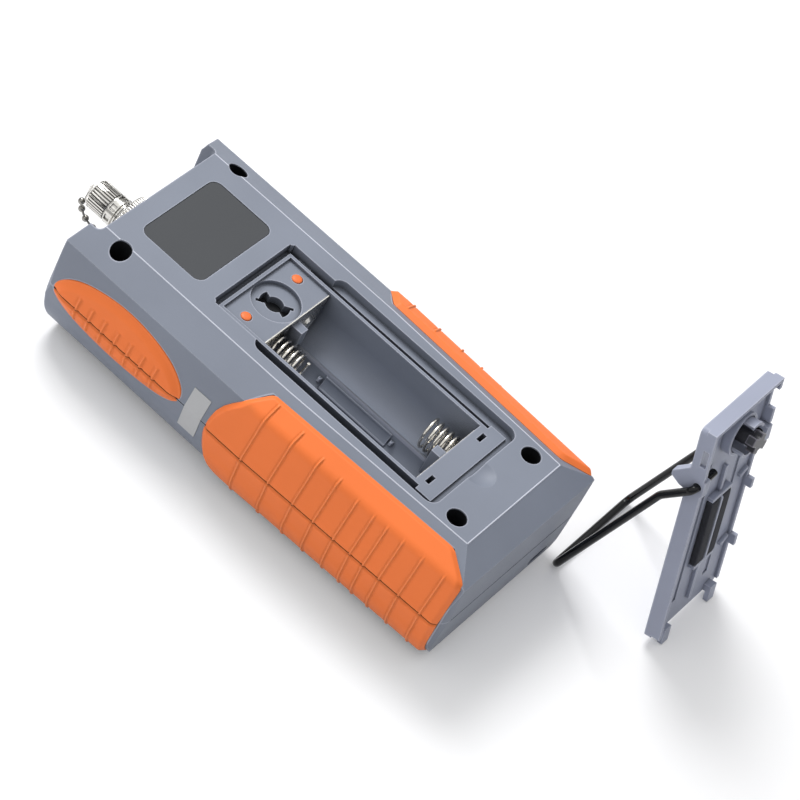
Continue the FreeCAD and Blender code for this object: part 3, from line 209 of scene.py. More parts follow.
def made(name, shape, material, body, replaces=(), facing=None, crease=40):
    """Mesh object of a shape in millimetres, smooth but for sharp edges, riding on a body if one is given.

    A closed shape gets outward normals, and an open one is turned so that it looks the given way.
    """
    mesh = bpy.data.meshes.new(name)
    mesh.from_pydata((shape[0] / 1000).tolist(), [], shape[1].tolist())
    work = bmesh.new()
    work.from_mesh(mesh)
    bmesh.ops.remove_doubles(work, verts=work.verts, dist=1e-7)
    bmesh.ops.dissolve_degenerate(work, edges=work.edges, dist=1e-8)
    if facing is None:
        bmesh.ops.recalc_face_normals(work, faces=work.faces)
    elif sum((f.normal * f.calc_area() for f in work.faces), Vector()).dot(Vector(facing)) < 0:
        bmesh.ops.reverse_faces(work, faces=work.faces)
    work.to_mesh(mesh)
    work.free()
    mesh.shade_smooth()
    mesh.set_sharp_from_angle(angle=math.radians(crease))
    mesh.materials.append(material)
    obj = bpy.data.objects.new(name, mesh)
    bpy.context.scene.collection.objects.link(obj)
    if body:
        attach(obj, body)
    if replaces:
        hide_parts(*replaces)
    return obj


# Its colour carries painted highlights on edges, painted shade in corners and deep painted shade in hollows.
case_grey = moulded("textured_abs", "#7E8491", painted_rim="#B9BDCB", rough=0.46, deep=0.8)
dress(case_grey, "rear_shell", "front_shell")
SIDE_PLACES = (-79.0, 0.0, 79.0)
SIDE_HALF_WIDTHS = (33.8, 36.3, 36.0)


def half_width(y):
    """Half width of the case at its parting line, in millimetres."""
    return np.interp(y, SIDE_PLACES, SIDE_HALF_WIDTHS)


# Parting line: the narrow dark joint where the two shells meet, along the bare stretches of the sides, the
# chin and the ears. Behind the overmoulded grips it is a dark red line.
SEAM_Z = 20.0
CASE_END = 74.0
# Corners of the ridge's section: how far out of the side and how far above the joint.
JOINT_SECTION = ((-0.3, 0.17), (0.04, 0.13), (0.04, -0.13), (-0.3, -0.17), (-0.3, 0.17))
CHIN_CORNER, CHIN_RADIUS = (29.0, -69.0), 5.0
EAR_CORNER, EAR_RADIUS = (32.05, 70.0), 4.0
EAR_INNER_X = 26.2
# Stretches of the side, from one place along the case to another.
EAR_RUN = (67.0, 69.6)
WAIST_RUN = (9.0, 24.0)
LOWER_GRIP_RUN = (-71.8, 11.0)
UPPER_GRIP_RUN = (23.5, 69.5)
joint_dark = moulded("shaded_joint", "#14161B", rough=0.7, shade=0)
joint_red = moulded("shaded_grip_joint", "#A83A12", rough=0.7, shade=0)


def joint_strip(line):
    """Low ridge along a plan line at the parting height: a trapezium section, mirrored to both sides."""
    ahead = np.gradient(line, axis=0)
    out = np.stack([ahead[:, 1], -ahead[:, 0]], axis=-1) / np.linalg.norm(ahead, axis=1, keepdims=True)
    shapes = []
    for side in (-1, 1):
        rows = []
        for lift, rise in JOINT_SECTION:
            spot = line + out * lift
            height = np.full(len(spot), SEAM_Z + rise)
            rows.append(np.stack([side * spot[:, 0], spot[:, 1], height], axis=-1))
        shapes.append(sheet_of(np.stack(rows)))
    return joined(shapes)


def plan_arc(x, y, radius, start, end):
    """Points of an arc in plan, from one angle in degrees to another."""
    turn = np.radians(np.linspace(start, end, 14))
    return np.stack([x + radius * np.cos(turn), y + radius * np.sin(turn)], axis=-1)


def side_line(y_from, y_to, steps=12):
    """Points along the case's side in plan."""
    y = np.linspace(y_from, y_to, steps)
    return np.stack([half_width(y), y], axis=-1)


chin_line = np.vstack([[[0.0, -CASE_END]], plan_arc(*CHIN_CORNER, CHIN_RADIUS, -90, -2)])
ear_line = np.vstack([side_line(*EAR_RUN), plan_arc(*EAR_CORNER, EAR_RADIUS, 0, 90),
                      [[EAR_INNER_X, CASE_END]]])
bare_joints = joined([joint_strip(line) for line in (chin_line, side_line(*WAIST_RUN), ear_line)])
grip_joints = joined([joint_strip(side_line(*run)) for run in (LOWER_GRIP_RUN, UPPER_GRIP_RUN)])
made("case_joint_line", bare_joints, joint_dark, "meter")
made("grip_joint_line", grip_joints, joint_red, "meter")

# Crease highlights: a painted highlight, a thin light bead where the flat back meets the sloped facets and
# the chin, in place of the light that these rounded creases catch. The lines stop at the upper screw holes,
# which cut the creases.
FLAT_INSET = 12.0
BACK_Z = 40.0
CHIN_CREASE_Y = -65.0
CREASE_RUNS = ((CHIN_CREASE_Y, 58.6), (63.4, 68.8))
EDGE_RADIUS = 0.24
EDGE_SUNK = 0.14
# A direction that no bead or wire here starts in.
OFF_PATH = (0.37, 0.21, 0.9)


def tube(path, radius, sides=10):
    """Round bead or wire along a path, its rings square to the path and untwisted, closed at both ends."""
    path = np.array(path, float)
    ahead = np.gradient(path, axis=0)
    ahead /= np.linalg.norm(ahead, axis=1, keepdims=True)
    side = np.cross(ahead[0], OFF_PATH)
    turn = np.linspace(0, 2 * math.pi, sides, endpoint=False)[:, None]
    rings = [np.repeat(path[:1], sides, axis=0)]
    for spot, forward in zip(path, ahead):
        side = side - forward * (side @ forward)
        side /= np.linalg.norm(side)
        rings.append(spot + radius * (np.cos(turn) * side + np.sin(turn) * np.cross(forward, side)))
    return sheet_of(np.stack(rings + [np.repeat(path[-1:], sides, axis=0)]), wrap_columns=True)


def crease_line(side, start, end):
    """Bead along the crease beside the flat back."""
    y = np.linspace(start, end, 24)
    x = side * (half_width(y) - FLAT_INSET)
    return tube(np.stack([x, y, 0 * y + BACK_Z - EDGE_SUNK], axis=-1), EDGE_RADIUS)


chin_x = np.linspace(-1, 1, 12) * (half_width(CHIN_CREASE_Y) - FLAT_INSET)
chin_crease = tube(np.stack([chin_x, 0 * chin_x + CHIN_CREASE_Y, 0 * chin_x + BACK_Z - EDGE_SUNK], axis=-1),
                   EDGE_RADIUS)
creases = [crease_line(side, *run) for side in (-1, 1) for run in CREASE_RUNS]
painted_crease_light = moulded("painted_crease_highlight", "#C4C8D4", rough=0.35, grain=0.2, edge=0.05, shade=0)
made("back_crease_lines", joined(creases + [chin_crease]), painted_crease_light, "meter")

# Screw wells and the keyhole's inside: deep moulded holes whose walls get hardly any light. That shade is
# painted: dark sleeves and a dark floor just inside the holes, so that they stay dark under any lamp.
SCREW_HOLES = ((26.1, 61.0), (-26.1, 61.0), (17.7, -57.6), (-17.7, -57.6))
WELL_RADIUS = 3.0
WELL_TAPER = 0.05
WELL_MOUTH = 39.5
WELL_FLOOR = 28.9
FLAT_HALF = 24.1
FACET_RUN = 9.4
FACET_DROP = 4.5
KEYHOLE_PLACE = (0.0, 23.3)
KEYHOLE_RADIUS = 6.6
KEYHOLE_FLOOR = 33.0
well_shade = moulded("shaded_well", "#0B0D12", rough=0.7, shade=0)


def round_row(x, y, radius, z, steps=48):
    """Ring of points round a vertical axis; the height may differ from point to point."""
    turn = np.linspace(0, 2 * math.pi, steps, endpoint=False)
    return np.stack([x + radius * np.cos(turn), y + radius * np.sin(turn), np.zeros(steps) + z], axis=-1)


wells = []
for x, y in SCREW_HOLES:
    mouth = round_row(x, y, WELL_RADIUS, 0)
    mouth[:, 2] = WELL_MOUTH - np.clip(abs(mouth[:, 0]) - FLAT_HALF, 0, None) * (FACET_DROP / FACET_RUN)
    rows = [mouth, round_row(x, y, WELL_RADIUS - WELL_TAPER, WELL_FLOOR), round_row(x, y, 0.0, WELL_FLOOR)]
    wells.append(sheet_of(np.stack(rows), wrap_columns=True))
made("screw_well_shade", joined(wells), well_shade, "meter", facing=(0, 0, 1))
floor_rows = [round_row(*KEYHOLE_PLACE, radius, KEYHOLE_FLOOR) for radius in (KEYHOLE_RADIUS, 0.0)]
keyhole_floor = sheet_of(np.stack(floor_rows), wrap_columns=True)
made("keyhole_floor", keyhole_floor, well_shade, "meter", facing=(0, 0, 1))


# Lower side grips: orange rubber moulded over both shells, 1.5 mm proud with a bevelled edge, a soft crease
# and ten narrow ribs, and split where the shells part. The matt rubber gets a painted highlight at its edges
# and painted shade in its corners.

# The case's cross-section by the length along it from the sloped facet's outer crease: how far the side
# leans out and falls above the parting line and under it, where each stretch ends, and the radius of the
# front edge. Then the rounded edges at the parting line, the bevel, the ribs and the grooves beside them.
PROFILE_FROM, PROFILE_TO, PROFILE_STEP = -12.0, 45.0, 0.1
UPPER_LEAN, UPPER_FALL = 2.6, 15.5
UNDER_LEAN, UNDER_FALL = -0.8, 6.5
JOINT_LENGTH = 15.72
ROUND_LENGTH = 22.27
FRONT_RADIUS = 13.5
ANCHOR_LENGTH = 8.0
JOINT_HALF = 0.16
JOINT_EDGE_DROP, JOINT_EDGE_WIDTH = 0.5, 0.55
# How deep a skin's rim is let into the case, the points across a row, the shortest row, and a length beyond
# the outline's ends.
SKIN_FOOT = -0.5
ROW_POINTS = 72
SHORTEST_ROW = 0.05
SKIN_END = 50
LOWER_BASE, LOWER_BEVEL, LOWER_BEVEL_WIDTH = 0.2, 1.3, 1.35
LOWER_RIB_HEIGHT, LOWER_RIB_HALF = 0.4, 0.28
LOWER_GROOVE_DEPTH, LOWER_GROOVE_OFF, LOWER_GROOVE_HALF = 0.3, 0.6, 0.22
LOWER_RIB_FADE, LOWER_RIB_INSET, LOWER_RIB_RAMP = 0.6, 0.6, 0.9


def case_profile(softness):
    """Right half of the case's cross-section: its slope at each length, smoothed, and summed to places.

    Gives the length, the place beside the half width, the height and the two parts of the outward normal.
    """
    length = np.arange(PROFILE_FROM, PROFILE_TO, PROFILE_STEP)
    facet = math.atan2(FACET_DROP, FACET_RUN)
    upper = math.atan2(UPPER_FALL, UPPER_LEAN)
    under = math.atan2(UNDER_FALL, UNDER_LEAN)
    slope = np.where(length < 0, facet, np.where(length < JOINT_LENGTH, upper, under))
    round_part = np.clip((length - ROUND_LENGTH) / FRONT_RADIUS, 0, math.pi / 2)
    slope = np.where(length > ROUND_LENGTH, math.pi / 2 + round_part, slope)
    kernel = np.hanning(max(3, int(softness / PROFILE_STEP)))
    padded = np.pad(slope, len(kernel), mode="edge")
    slope = np.convolve(padded, kernel / kernel.sum(), mode="same")[len(kernel):-len(kernel)]
    across = np.concatenate([[0], np.cumsum(np.cos(slope[:-1]) * PROFILE_STEP)])
    down = np.concatenate([[0], np.cumsum(np.sin(slope[:-1]) * PROFILE_STEP)])
    anchor = np.argmin(abs(length - ANCHOR_LENGTH))
    across += -UPPER_LEAN + ANCHOR_LENGTH * math.cos(upper) - across[anchor]
    height = BACK_Z - FACET_DROP - ANCHOR_LENGTH * math.sin(upper) - (down - down[anchor])
    return length, across, height, np.sin(slope), np.cos(slope)


def outline_distance(points, outline):
    """Distance of each point of an array from a closed outline in the same plane."""
    best = np.full(points.shape[:-1], 1e9)
    for a, b in zip(outline, np.roll(outline, -1, axis=0)):
        along = b - a
        t = np.clip(((points - a) @ along) / max(along @ along, 1e-9), 0, 1)
        best = np.minimum(best, np.linalg.norm(points - a - t[..., None] * along, axis=-1))
    return best


def smooth_step(x):
    """Rises smoothly from 0 to 1 while x goes from 0 to 1."""
    x = np.clip(x, 0, 1)
    return x * x * (3 - 2 * x)


def grip_half(outline, rows, low, high, relief, side, softness):
    """Half of a side grip: the case's skin raised by a relief, between the outline and the parting line.

    Each row runs across the grip between two crossings of the outline, or to the parting line, with its
    points closer at both ends, and each point is lifted along the case's normal.
    """
    length, across, height, normal_x, normal_z = case_profile(softness)
    ring = np.vstack([outline, outline[:1]])
    limits = []
    for y in rows:
        cross = (ring[:-1, 1] - y) * (ring[1:, 1] - y) <= 0
        a, b = ring[:-1][cross], ring[1:][cross]
        t = (y - a[:, 1]) / np.where(abs(b[:, 1] - a[:, 1]) < 1e-9, 1e-9, b[:, 1] - a[:, 1])
        hit = a[:, 0] + np.clip(t, 0, 1) * (b[:, 0] - a[:, 0])
        limits.append((max(hit.min(), low), min(hit.max(), high)))
    limits = np.array(limits)
    keep = limits[:, 1] - limits[:, 0] > SHORTEST_ROW
    rows, limits = rows[keep], limits[keep]
    t = 0.5 - 0.5 * np.cos(np.linspace(0, math.pi, ROW_POINTS))
    s = limits[:, :1] + (limits[:, 1:] - limits[:, :1]) * t
    y = np.repeat(rows[:, None], len(t), axis=1)
    rise = relief(s, y, outline_distance(np.stack([s, y], axis=-1), outline))
    s, y, rise = [np.pad(a, 1, mode="edge") for a in (s, y, rise)]
    rise[0, :] = rise[-1, :] = SKIN_FOOT
    rise[:, 0] = rise[:, -1] = SKIN_FOOT
    x = half_width(y) + np.interp(s, length, across) + rise * np.interp(s, length, normal_x)
    z = np.interp(s, length, height) + rise * np.interp(s, length, normal_z)
    return sheet_of(np.stack([side * x, y, z], axis=-1))


grip_orange = moulded("orange_rubber", "#F27A39", painted_rim="#FFA068", rough=0.5, grain=0.2, relief=0.2, edge=0.3,
                      mottle=0.03, shade=0.4, even="#8E8A88")
# Outline of a lower grip: length down the cross-section and place along the case.
lower_outline = np.array([
    (-6.9, -61.2), (-6.9, 0.5), (-6.4, 1.5), (-5.6, 2.2), (-4.0, 3.3), (-1.8, 4.9), (0.6, 6.6), (3.2, 8.6),
    (6.0, 10.4), (9.0, 11.6), (12.0, 12.1), (15.5, 12.3), (19.0, 12.0), (22.5, 11.2), (26.0, 9.8),
    (29.0, 7.9), (32.0, 5.0), (34.3, 1.5), (34.95, -2.0), (34.95, -71.9), (34.4, -72.4), (1.0, -72.4),
    (-0.6, -71.9), (-1.4, -71.0), (-6.3, -64.2), (-6.8, -62.8)])
# Each rib's place along the case, and the length down the cross-section at which it starts.
lower_ribs = ((-2.0, -5.3), (-12.0, -3.9), (-21.0, -1.9), (-28.5, -0.9), (-35.8, 0.0), (-41.9, 0.2),
              (-46.7, 0.2), (-52.4, 0.2), (-59.4, 0.2), (-67.0, 0.2))


def joint_drop(s):
    """Rounded edge beside the parting line."""
    return -JOINT_EDGE_DROP * (1 - smooth_step((abs(s - JOINT_LENGTH) - JOINT_HALF) / JOINT_EDGE_WIDTH))


def bevel(inside, width, soft=0.14):
    """Straight bevel from 0 at an edge to 1 at a width inside it, with its two ends a little rounded."""
    return (np.clip((inside - soft) / width, 0, 1) + np.clip((inside + soft) / width, 0, 1)) / 2


def lower_relief(s, y, inside):
    """Height of a lower grip over the case: bevelled edge, flat face, ribs and the rounded joint."""
    rise = LOWER_BASE + LOWER_BEVEL * bevel(inside, LOWER_BEVEL_WIDTH) + joint_drop(s)
    for place, start in lower_ribs:
        off = abs(y - place)
        groove = LOWER_GROOVE_DEPTH * np.exp(-((off - LOWER_GROOVE_OFF) / LOWER_GROOVE_HALF) ** 2)
        rib = LOWER_RIB_HEIGHT * (np.exp(-(off / LOWER_RIB_HALF) ** 4) - groove)
        from_start = smooth_step((s - start) / LOWER_RIB_FADE)
        from_edge = smooth_step((inside - LOWER_RIB_INSET) / LOWER_RIB_RAMP)
        rise = rise + rib * from_start * from_edge
    return rise


def grip_skins(place, outline, rows, relief, softness):
    """Rear and front half of a grip on both sides of the case, each in place of its solid."""
    halves = (("rear", -SKIN_END, JOINT_LENGTH - JOINT_HALF), ("front", JOINT_LENGTH + JOINT_HALF, SKIN_END))
    for side, word in ((-1, "left"), (1, "right")):
        for part, low, high in halves:
            half = grip_half(outline, rows, low, high, relief, side, softness)
            solid = f"{place}_grip_{word}_{part}"
            made(solid + "_skin", half, grip_orange, "meter", [solid], facing=(side, 0, 0),
                 crease=50)


# The rows of the grid are close at both ends of the grip and over each rib, where the form turns quickly.
GRIP_FOOT, GRIP_TIP, TIP_START = -72.39, 12.29, 6.0
ROW_PITCH = 0.35
RIB_MARGIN = 1.1
rib_rows = [np.linspace(place - RIB_MARGIN, place + RIB_MARGIN, 23) for place, start in lower_ribs]
end_rows = [np.linspace(GRIP_FOOT, -71.9, 6), np.linspace(TIP_START, GRIP_TIP, 60)]
even_rows = [np.arange(-71.7, TIP_START, ROW_PITCH)]
lower_rows = np.unique(np.round(np.concatenate(end_rows + even_rows + rib_rows), 3))
grip_skins("lower", lower_outline, lower_rows, lower_relief, 3.0)

# Upper side grips: almond-shaped pads of the same rubber, moulded over both shells in the same shot. They
# are domed, and seven short ribs cross the parting line on each side.

# The outline's middle, half length, half height and swell, and the length down the side for each millimetre
# of height. Then the step at the edge, the dome, the ribs and the grooves beside them.
EGG_MIDDLE_Y, EGG_MIDDLE_Z = 46.6, 20.9
EGG_HALF_LENGTH, EGG_HALF_HEIGHT, EGG_SWELL = 24.3, 9.0, 1.6
EGG_ROW_REACH = 24.29
SIDE_STRETCH = 1.0142
UPPER_BASE, UPPER_STEP, UPPER_STEP_WIDTH = -0.1, 0.4, 0.35
DOME_HEIGHT, DOME_INSET, DOME_WIDTH = 1.0, 0.2, 3.2
UPPER_RIBS, UPPER_RIB_FIRST, UPPER_RIB_PITCH = 7, 31.9, 4.9
UPPER_RIB_HEIGHT, UPPER_RIB_HALF, UPPER_RIB_REACH, UPPER_RIB_FADE = 0.42, 0.36, 4.1, 0.8
UPPER_GROOVE_DEPTH, UPPER_GROOVE_OFF, UPPER_GROOVE_HALF = 0.4, 0.85, 0.32


def upper_outline(steps=96):
    """Egg-shaped outline: an ellipse, raised by the square of its angle's sine.

    It gives the length down the cross-section and the place along the case.
    """
    turn = np.linspace(0, 2 * math.pi, steps, endpoint=False)
    height = EGG_MIDDLE_Z + EGG_SWELL * np.sin(turn) ** 2 + EGG_HALF_HEIGHT * np.sin(turn)
    length = (BACK_Z - FACET_DROP - height) * SIDE_STRETCH
    return np.stack([length, EGG_MIDDLE_Y + EGG_HALF_LENGTH * np.cos(turn)], axis=-1)


def upper_relief(s, y, inside):
    """Height of an upper grip: a small step at its edge, a dome, and ribs with a groove on both sides."""
    edge = UPPER_STEP * smooth_step(inside / UPPER_STEP_WIDTH)
    rise = UPPER_BASE + edge + DOME_HEIGHT * smooth_step((inside - DOME_INSET) / DOME_WIDTH) + joint_drop(s)
    ends = 1 - smooth_step((abs(s - JOINT_LENGTH) - UPPER_RIB_REACH) / UPPER_RIB_FADE)
    for i in range(UPPER_RIBS):
        off = abs(y - UPPER_RIB_FIRST - UPPER_RIB_PITCH * i)
        groove = UPPER_GROOVE_DEPTH * np.exp(-((off - UPPER_GROOVE_OFF) / UPPER_GROOVE_HALF) ** 2)
        rise = rise + UPPER_RIB_HEIGHT * (np.exp(-(off / UPPER_RIB_HALF) ** 4) - groove) * ends
    return rise


upper_rows = EGG_MIDDLE_Y + EGG_ROW_REACH * np.cos(np.linspace(math.pi, 0, 330))
grip_skins("upper", upper_outline(), upper_rows, upper_relief, 2.0)

# Lock marks: two domed orange buttons of the grips' rubber, moulded in beside the keyhole, which show where
# the cover's lock is open and shut. They are smoother than the grips, so each has a small highlight; their
# edges get a painted highlight as well.
MARKS = ((-11.6, 25.0), (11.6, 25.0))
MARK_PROFILE = ((36.7, 1.6), (37.0, 1.6), (37.17, 1.5), (37.3, 1.25), (37.39, 0.8), (37.42, 0.35),
                (37.42, 0.0))
marks = []
for x, y in MARKS:
    rings = [round_row(x, y, radius, z) for z, radius in MARK_PROFILE]
    marks.append(sheet_of(np.stack(rings), wrap_columns=True))
mark_orange = moulded("orange_button", "#F0763A", painted_rim="#FFB48A", rough=0.42, grain=0.12, edge=0.1,
                      mottle=0.02)
made("lock_mark_domes", joined(marks), mark_orange, "meter", ["lock_marks"], facing=(0, 0, 1))

# Rating label and seal: self-adhesive polyester films, a dark grey one in its shallow recess on the back
# and a silver one folded over the parting line. Both are bare, with the fine even sheen of printed film.
label_grey = moulded("printed_film", "#4A4C4F", rough=0.5, grain=0.1, relief=0.05, edge=0.05, mottle=0.02,
                     shade=0, gloss=0.15)
seal_silver = moulded("silver_film", "#B4B5B7", rough=0.36, grain=0.1, relief=0.05, edge=0.05, mottle=0.03,
                      shade=0)
dress(label_grey, "rating_label")
dress(seal_silver, "seal_label")


# Screws: self-tapping screws of blackened steel, one at the bottom of each well and small ones that hold
# the board. The black oxide leaves them dark, with a dull sheen on their heads.

# A plated face is uneven at about 0.1 mm, too fine to show in the render, so its cells are drawn from 2.5 mm
# down to 0.16 mm wide.
UNEVEN_CELL = 2.5
UNEVEN_DEPTH = 0.00005
UNEVEN_RELIEF = 0.05
UNEVEN_SHADE = 0.88
UNEVEN_GLOSS = (0.75, 1.3)
# How far a metal's painted corner shade reaches, in metres, and the share of its colour it keeps in full
# shade.
PLATED_CORNER_REACH = 0.0012
PLATED_FULL_SHADE = 0.03


def metal(name, colour, rough=0.25, edge=0.1, shade=0.5):
    """Plated, blackened or anodised metal: slightly uneven gloss and colour, and painted shade in corners.
    """
    mat, tree, shader = new_material(name)
    place = add_node(tree, "TexCoord").outputs["Object"]
    noise = add_node(tree, "TexNoise", {"Vector": place, "Scale": 1000 / UNEVEN_CELL, "Detail": 4.0})
    uneven = noise.outputs["Fac"]
    base = srgb(colour)
    patch, dark = [[c * share for c in base[:3]] + [1.0] for share in (UNEVEN_SHADE, PLATED_FULL_SHADE)]
    tint = mixed(tree, scaled(tree, uneven, *NOISE_RANGE, 0, 1), patch, base)
    # Painted shade: the colour darkens in corners.
    corner = add_node(tree, "AmbientOcclusion", {"Distance": PLATED_CORNER_REACH}, samples=6).outputs["AO"]
    tint = mixed(tree, scaled(tree, corner, *CORNER_FADE, shade, 0), tint, dark)
    tree.links.new(tint, shader.inputs["Base Color"])
    shiny, dull = [rough * factor for factor in UNEVEN_GLOSS]
    tree.links.new(scaled(tree, uneven, *NOISE_RANGE, shiny, dull), shader.inputs["Roughness"])
    soft = add_node(tree, "Bevel", {"Radius": edge / 1000}, samples=4)
    bump = add_node(tree, "Bump", {"Height": uneven, "Strength": UNEVEN_RELIEF, "Distance": UNEVEN_DEPTH,
                                   "Normal": soft.outputs["Normal"]})
    tree.links.new(bump.outputs["Normal"], shader.inputs["Normal"])
    shader.inputs["Metallic"].default_value = 1.0
    return mat


dress(metal("blackened_steel", "#17181A", rough=0.4), "case_screws", "board_screws")

# Battery contacts and springs: nickel-plated spring steel, bright and a little yellowish. The flat contacts
# stand in slots at the ends of the bay, and each coiled spring is riveted to its contact.
# The contacts get a faint painted shade in their corners, and the springs a strong one between their coils.
nickel_contact = metal("nickel_strip", "#EBE9E3", rough=0.25, shade=0.2)
nickel_spring = metal("nickel_wire", "#E6E2DA", rough=0.16, shade=0.75)
dress(nickel_contact, "contact_upper", "contact_lower")
dress(nickel_spring, "spring_upper", "spring_lower")


# Optical port: a nickel-plated adapter with a threaded barrel, a flange, a nut inside the case and a white
# ceramic sleeve in its bore. A knurled ring clamps the adapter and the chain's washer to the end wall.
def turned(profile, place, steps=64, shape=None):
    """Turned part along the case: a profile of places and radii swept round an axis at a place in x, z.

    The shape function, if given, works out the radius from the angle, the place and the profile's radius.
    """
    turn = np.linspace(0, 2 * math.pi, steps, endpoint=False)[None, :]
    along = np.array(profile, float)[:, :1] + 0 * turn
    radius = np.array(profile, float)[:, 1:] + 0 * turn
    if shape:
        radius = shape(turn, along, radius)
    x = place[0] + radius * np.cos(turn)
    z = place[1] + radius * np.sin(turn)
    return sheet_of(np.stack([x, along, z], axis=-1), wrap_columns=True)


PORT_AXIS = (0.0, 20.7)
RING_RADIUS = 8.9
RING_TEETH = 60
RING_PROFILE = ((71.25, 4.1), (71.25, 8.3), (71.55, RING_RADIUS), (74.6, RING_RADIUS), (75.0, 8.3),
                (75.05, 6.0), (74.8, 5.8), (74.8, 4.1), (71.25, 4.1))
RIM_DEPTH = 0.2
TOOTH_DEPTH = 0.42
TOOTH_SHARPNESS = 1.5


def knurl(turn, along, radius):
    """Straight teeth on the ring's rim: the radius falls by a rectified wave of the angle."""
    tooth = TOOTH_DEPTH * abs(np.sin(turn * RING_TEETH / 2)) ** TOOTH_SHARPNESS
    return np.where(radius > RING_RADIUS - RIM_DEPTH, radius - tooth, radius)


# Bright nickel mirrors the room in hard light and dark bands, and the ceramic is smooth and milky.
# The nickel gets a strong painted shade in its grooves and corners, and the ceramic painted shade in
# corners.
nickel = metal("bright_nickel", "#DCDAD5", rough=0.14, edge=0.06, shade=0.85)
dress(nickel, "adapter_flange", "adapter_barrel", "adapter_nut")
clamping_ring = turned(RING_PROFILE, PORT_AXIS, RING_TEETH * 8, knurl)
made("clamping_ring", clamping_ring, nickel, "meter")
dress(moulded("zirconia", "#EDEBE4", rough=0.2, grain=0.1, relief=0.02, mottle=0.01), "split_sleeve")

# Dust cap: turned and nickel-plated brass, screwed on the barrel. It has a neck with a groove, a collar
# with eight slots, a fluted grip and a chamfered end, in which the chain's swivel turns.
COLLAR_RADIUS = 4.95
FLUTED_RADIUS = 4.7
CAP_PROFILE = (
    (75.8, 4.1), (75.8, 4.35), (75.95, 4.45), (76.2, 4.45), (76.25, 4.15), (76.55, 4.15), (76.6, 4.45),
    (77.1, 4.45), (77.2, 4.8), (77.35, COLLAR_RADIUS), (77.75, COLLAR_RADIUS), (77.8, COLLAR_RADIUS),
    (79.5, COLLAR_RADIUS), (79.55, COLLAR_RADIUS), (79.85, COLLAR_RADIUS), (80.0, 4.8), (80.1, 4.3),
    (80.4, 4.3), (80.5, FLUTED_RADIUS - 0.1), (80.7, FLUTED_RADIUS), (86.4, FLUTED_RADIUS),
    (86.7, FLUTED_RADIUS - 0.12), (86.75, 4.3), (87.0, 4.3), (87.3, 4.0), (87.3, 1.0), (85.8, 1.0),
    (85.8, 4.1), (75.8, 4.1))
SLOT_CENTRE, SLOT_PITCH, SLOT_HALF = math.radians(131.7), 45, 11.5
SLOT_FROM, SLOT_TO, SLOT_DEPTH = 77.78, 79.52, 0.5
FLUTES, FLUTE_FROM, FLUTE_TO, FLUTE_DEPTH = 32, 80.45, 86.72, 0.42
# The wave is steepened and lowered, so that a flat land is left between the flutes.
WAVE_GAIN, WAVE_DROP = 1.4, 0.2


def cap_shape(turn, along, radius):
    """Slots in the collar, one at each multiple of the pitch, and flutes by a wave of the angle."""
    off = abs((np.degrees(turn - SLOT_CENTRE) + SLOT_PITCH / 2) % SLOT_PITCH - SLOT_PITCH / 2)
    slotted = (off < SLOT_HALF) & (along > SLOT_FROM) & (along < SLOT_TO) & (radius > COLLAR_RADIUS - 0.05)
    fluted = (along > FLUTE_FROM) & (along < FLUTE_TO) & (radius > FLUTED_RADIUS - 0.2)
    groove = FLUTE_DEPTH * np.clip(WAVE_GAIN * np.cos(FLUTES * turn) - WAVE_DROP, 0, 1)
    return np.where(slotted, radius - SLOT_DEPTH, np.where(fluted, radius - groove, radius))


made("dust_cap_body", turned(CAP_PROFILE, PORT_AXIS, 384, cap_shape), nickel, "cap",
     ["dust_cap"], crease=30)
dress(nickel, "cap_swivel")


# Ball chain: hollow nickel-plated balls on short rods, from a washer clamped under the ring to a wire loop
# on the swivel. It hangs in a curve below the cap.
def along_curve(points, steps):
    """Smooth curve through points: cubics whose slope at a point is half the step between its neighbours."""
    points = np.array(points, float)
    points = np.vstack([2 * points[0] - points[1], points, 2 * points[-1] - points[-2]])
    spot = np.linspace(0, len(points) - 3.0001, steps)
    k = spot.astype(int)
    t = (spot - k)[:, None]
    a, b, c, d = points[k], points[k + 1], points[k + 2], points[k + 3]
    twice = 2 * b + (c - a) * t + (2 * a - 5 * b + 4 * c - d) * t ** 2 + (3 * b - a - 3 * c + d) * t ** 3
    return 0.5 * twice


def ball(centre, radius, steps=20):
    """Sphere: rings whose radius and height are the sine and cosine of the polar angle."""
    polar = np.linspace(0, math.pi, steps)[:, None]
    turn = np.linspace(0, 2 * math.pi, 2 * steps, endpoint=False)[None, :]
    x = np.sin(polar) * np.cos(turn)
    y = np.sin(polar) * np.sin(turn)
    points = np.stack([x, y, np.cos(polar) + 0 * turn], axis=-1)
    return sheet_of(np.array(centre) + radius * points, wrap_columns=True)


WASHER_BORE = 4.15
WASHER_RADIUS = 5.65
WASHER_BACK = 70.65
WASHER_FRONT = 71.2
TAB_ANGLE, TAB_HALF, TAB_REACH = 270, 13, 5.2
TAB_EYE = (-0.1, 71.6, 10.8)
BALLS = ((-2.3, 88.9, 16.4), (-1.3, 88.4, 12.9), (-0.7, 86.4, 10.1), (0.3, 83.6, 7.9), (0.6, 80.1, 6.9),
         (0.4, 76.6, 7.2), (0.1, 73.5, 8.9))
BALL_RADIUS = 1.08
ROD_RADIUS = 0.36
LOOP_CENTRE = (-0.8, 87.82, 19.2)
LOOP_RADIUS = 2.1
LOOP_WIRE = 0.34
LOOP_FOOT = (-1.3, 87.9, 17.5)
turn = np.linspace(0, 2 * math.pi, 40)
loop = np.stack([LOOP_CENTRE[0] + LOOP_RADIUS * np.cos(turn), LOOP_CENTRE[1] + 0 * turn,
                 LOOP_CENTRE[2] + LOOP_RADIUS * np.sin(turn)], axis=-1)
hanging = along_curve([LOOP_FOOT, *BALLS, TAB_EYE], 120)
chain_shapes = [tube(loop, LOOP_WIRE), tube(hanging, ROD_RADIUS)]
chain_shapes += [ball(centre, BALL_RADIUS) for centre in BALLS]
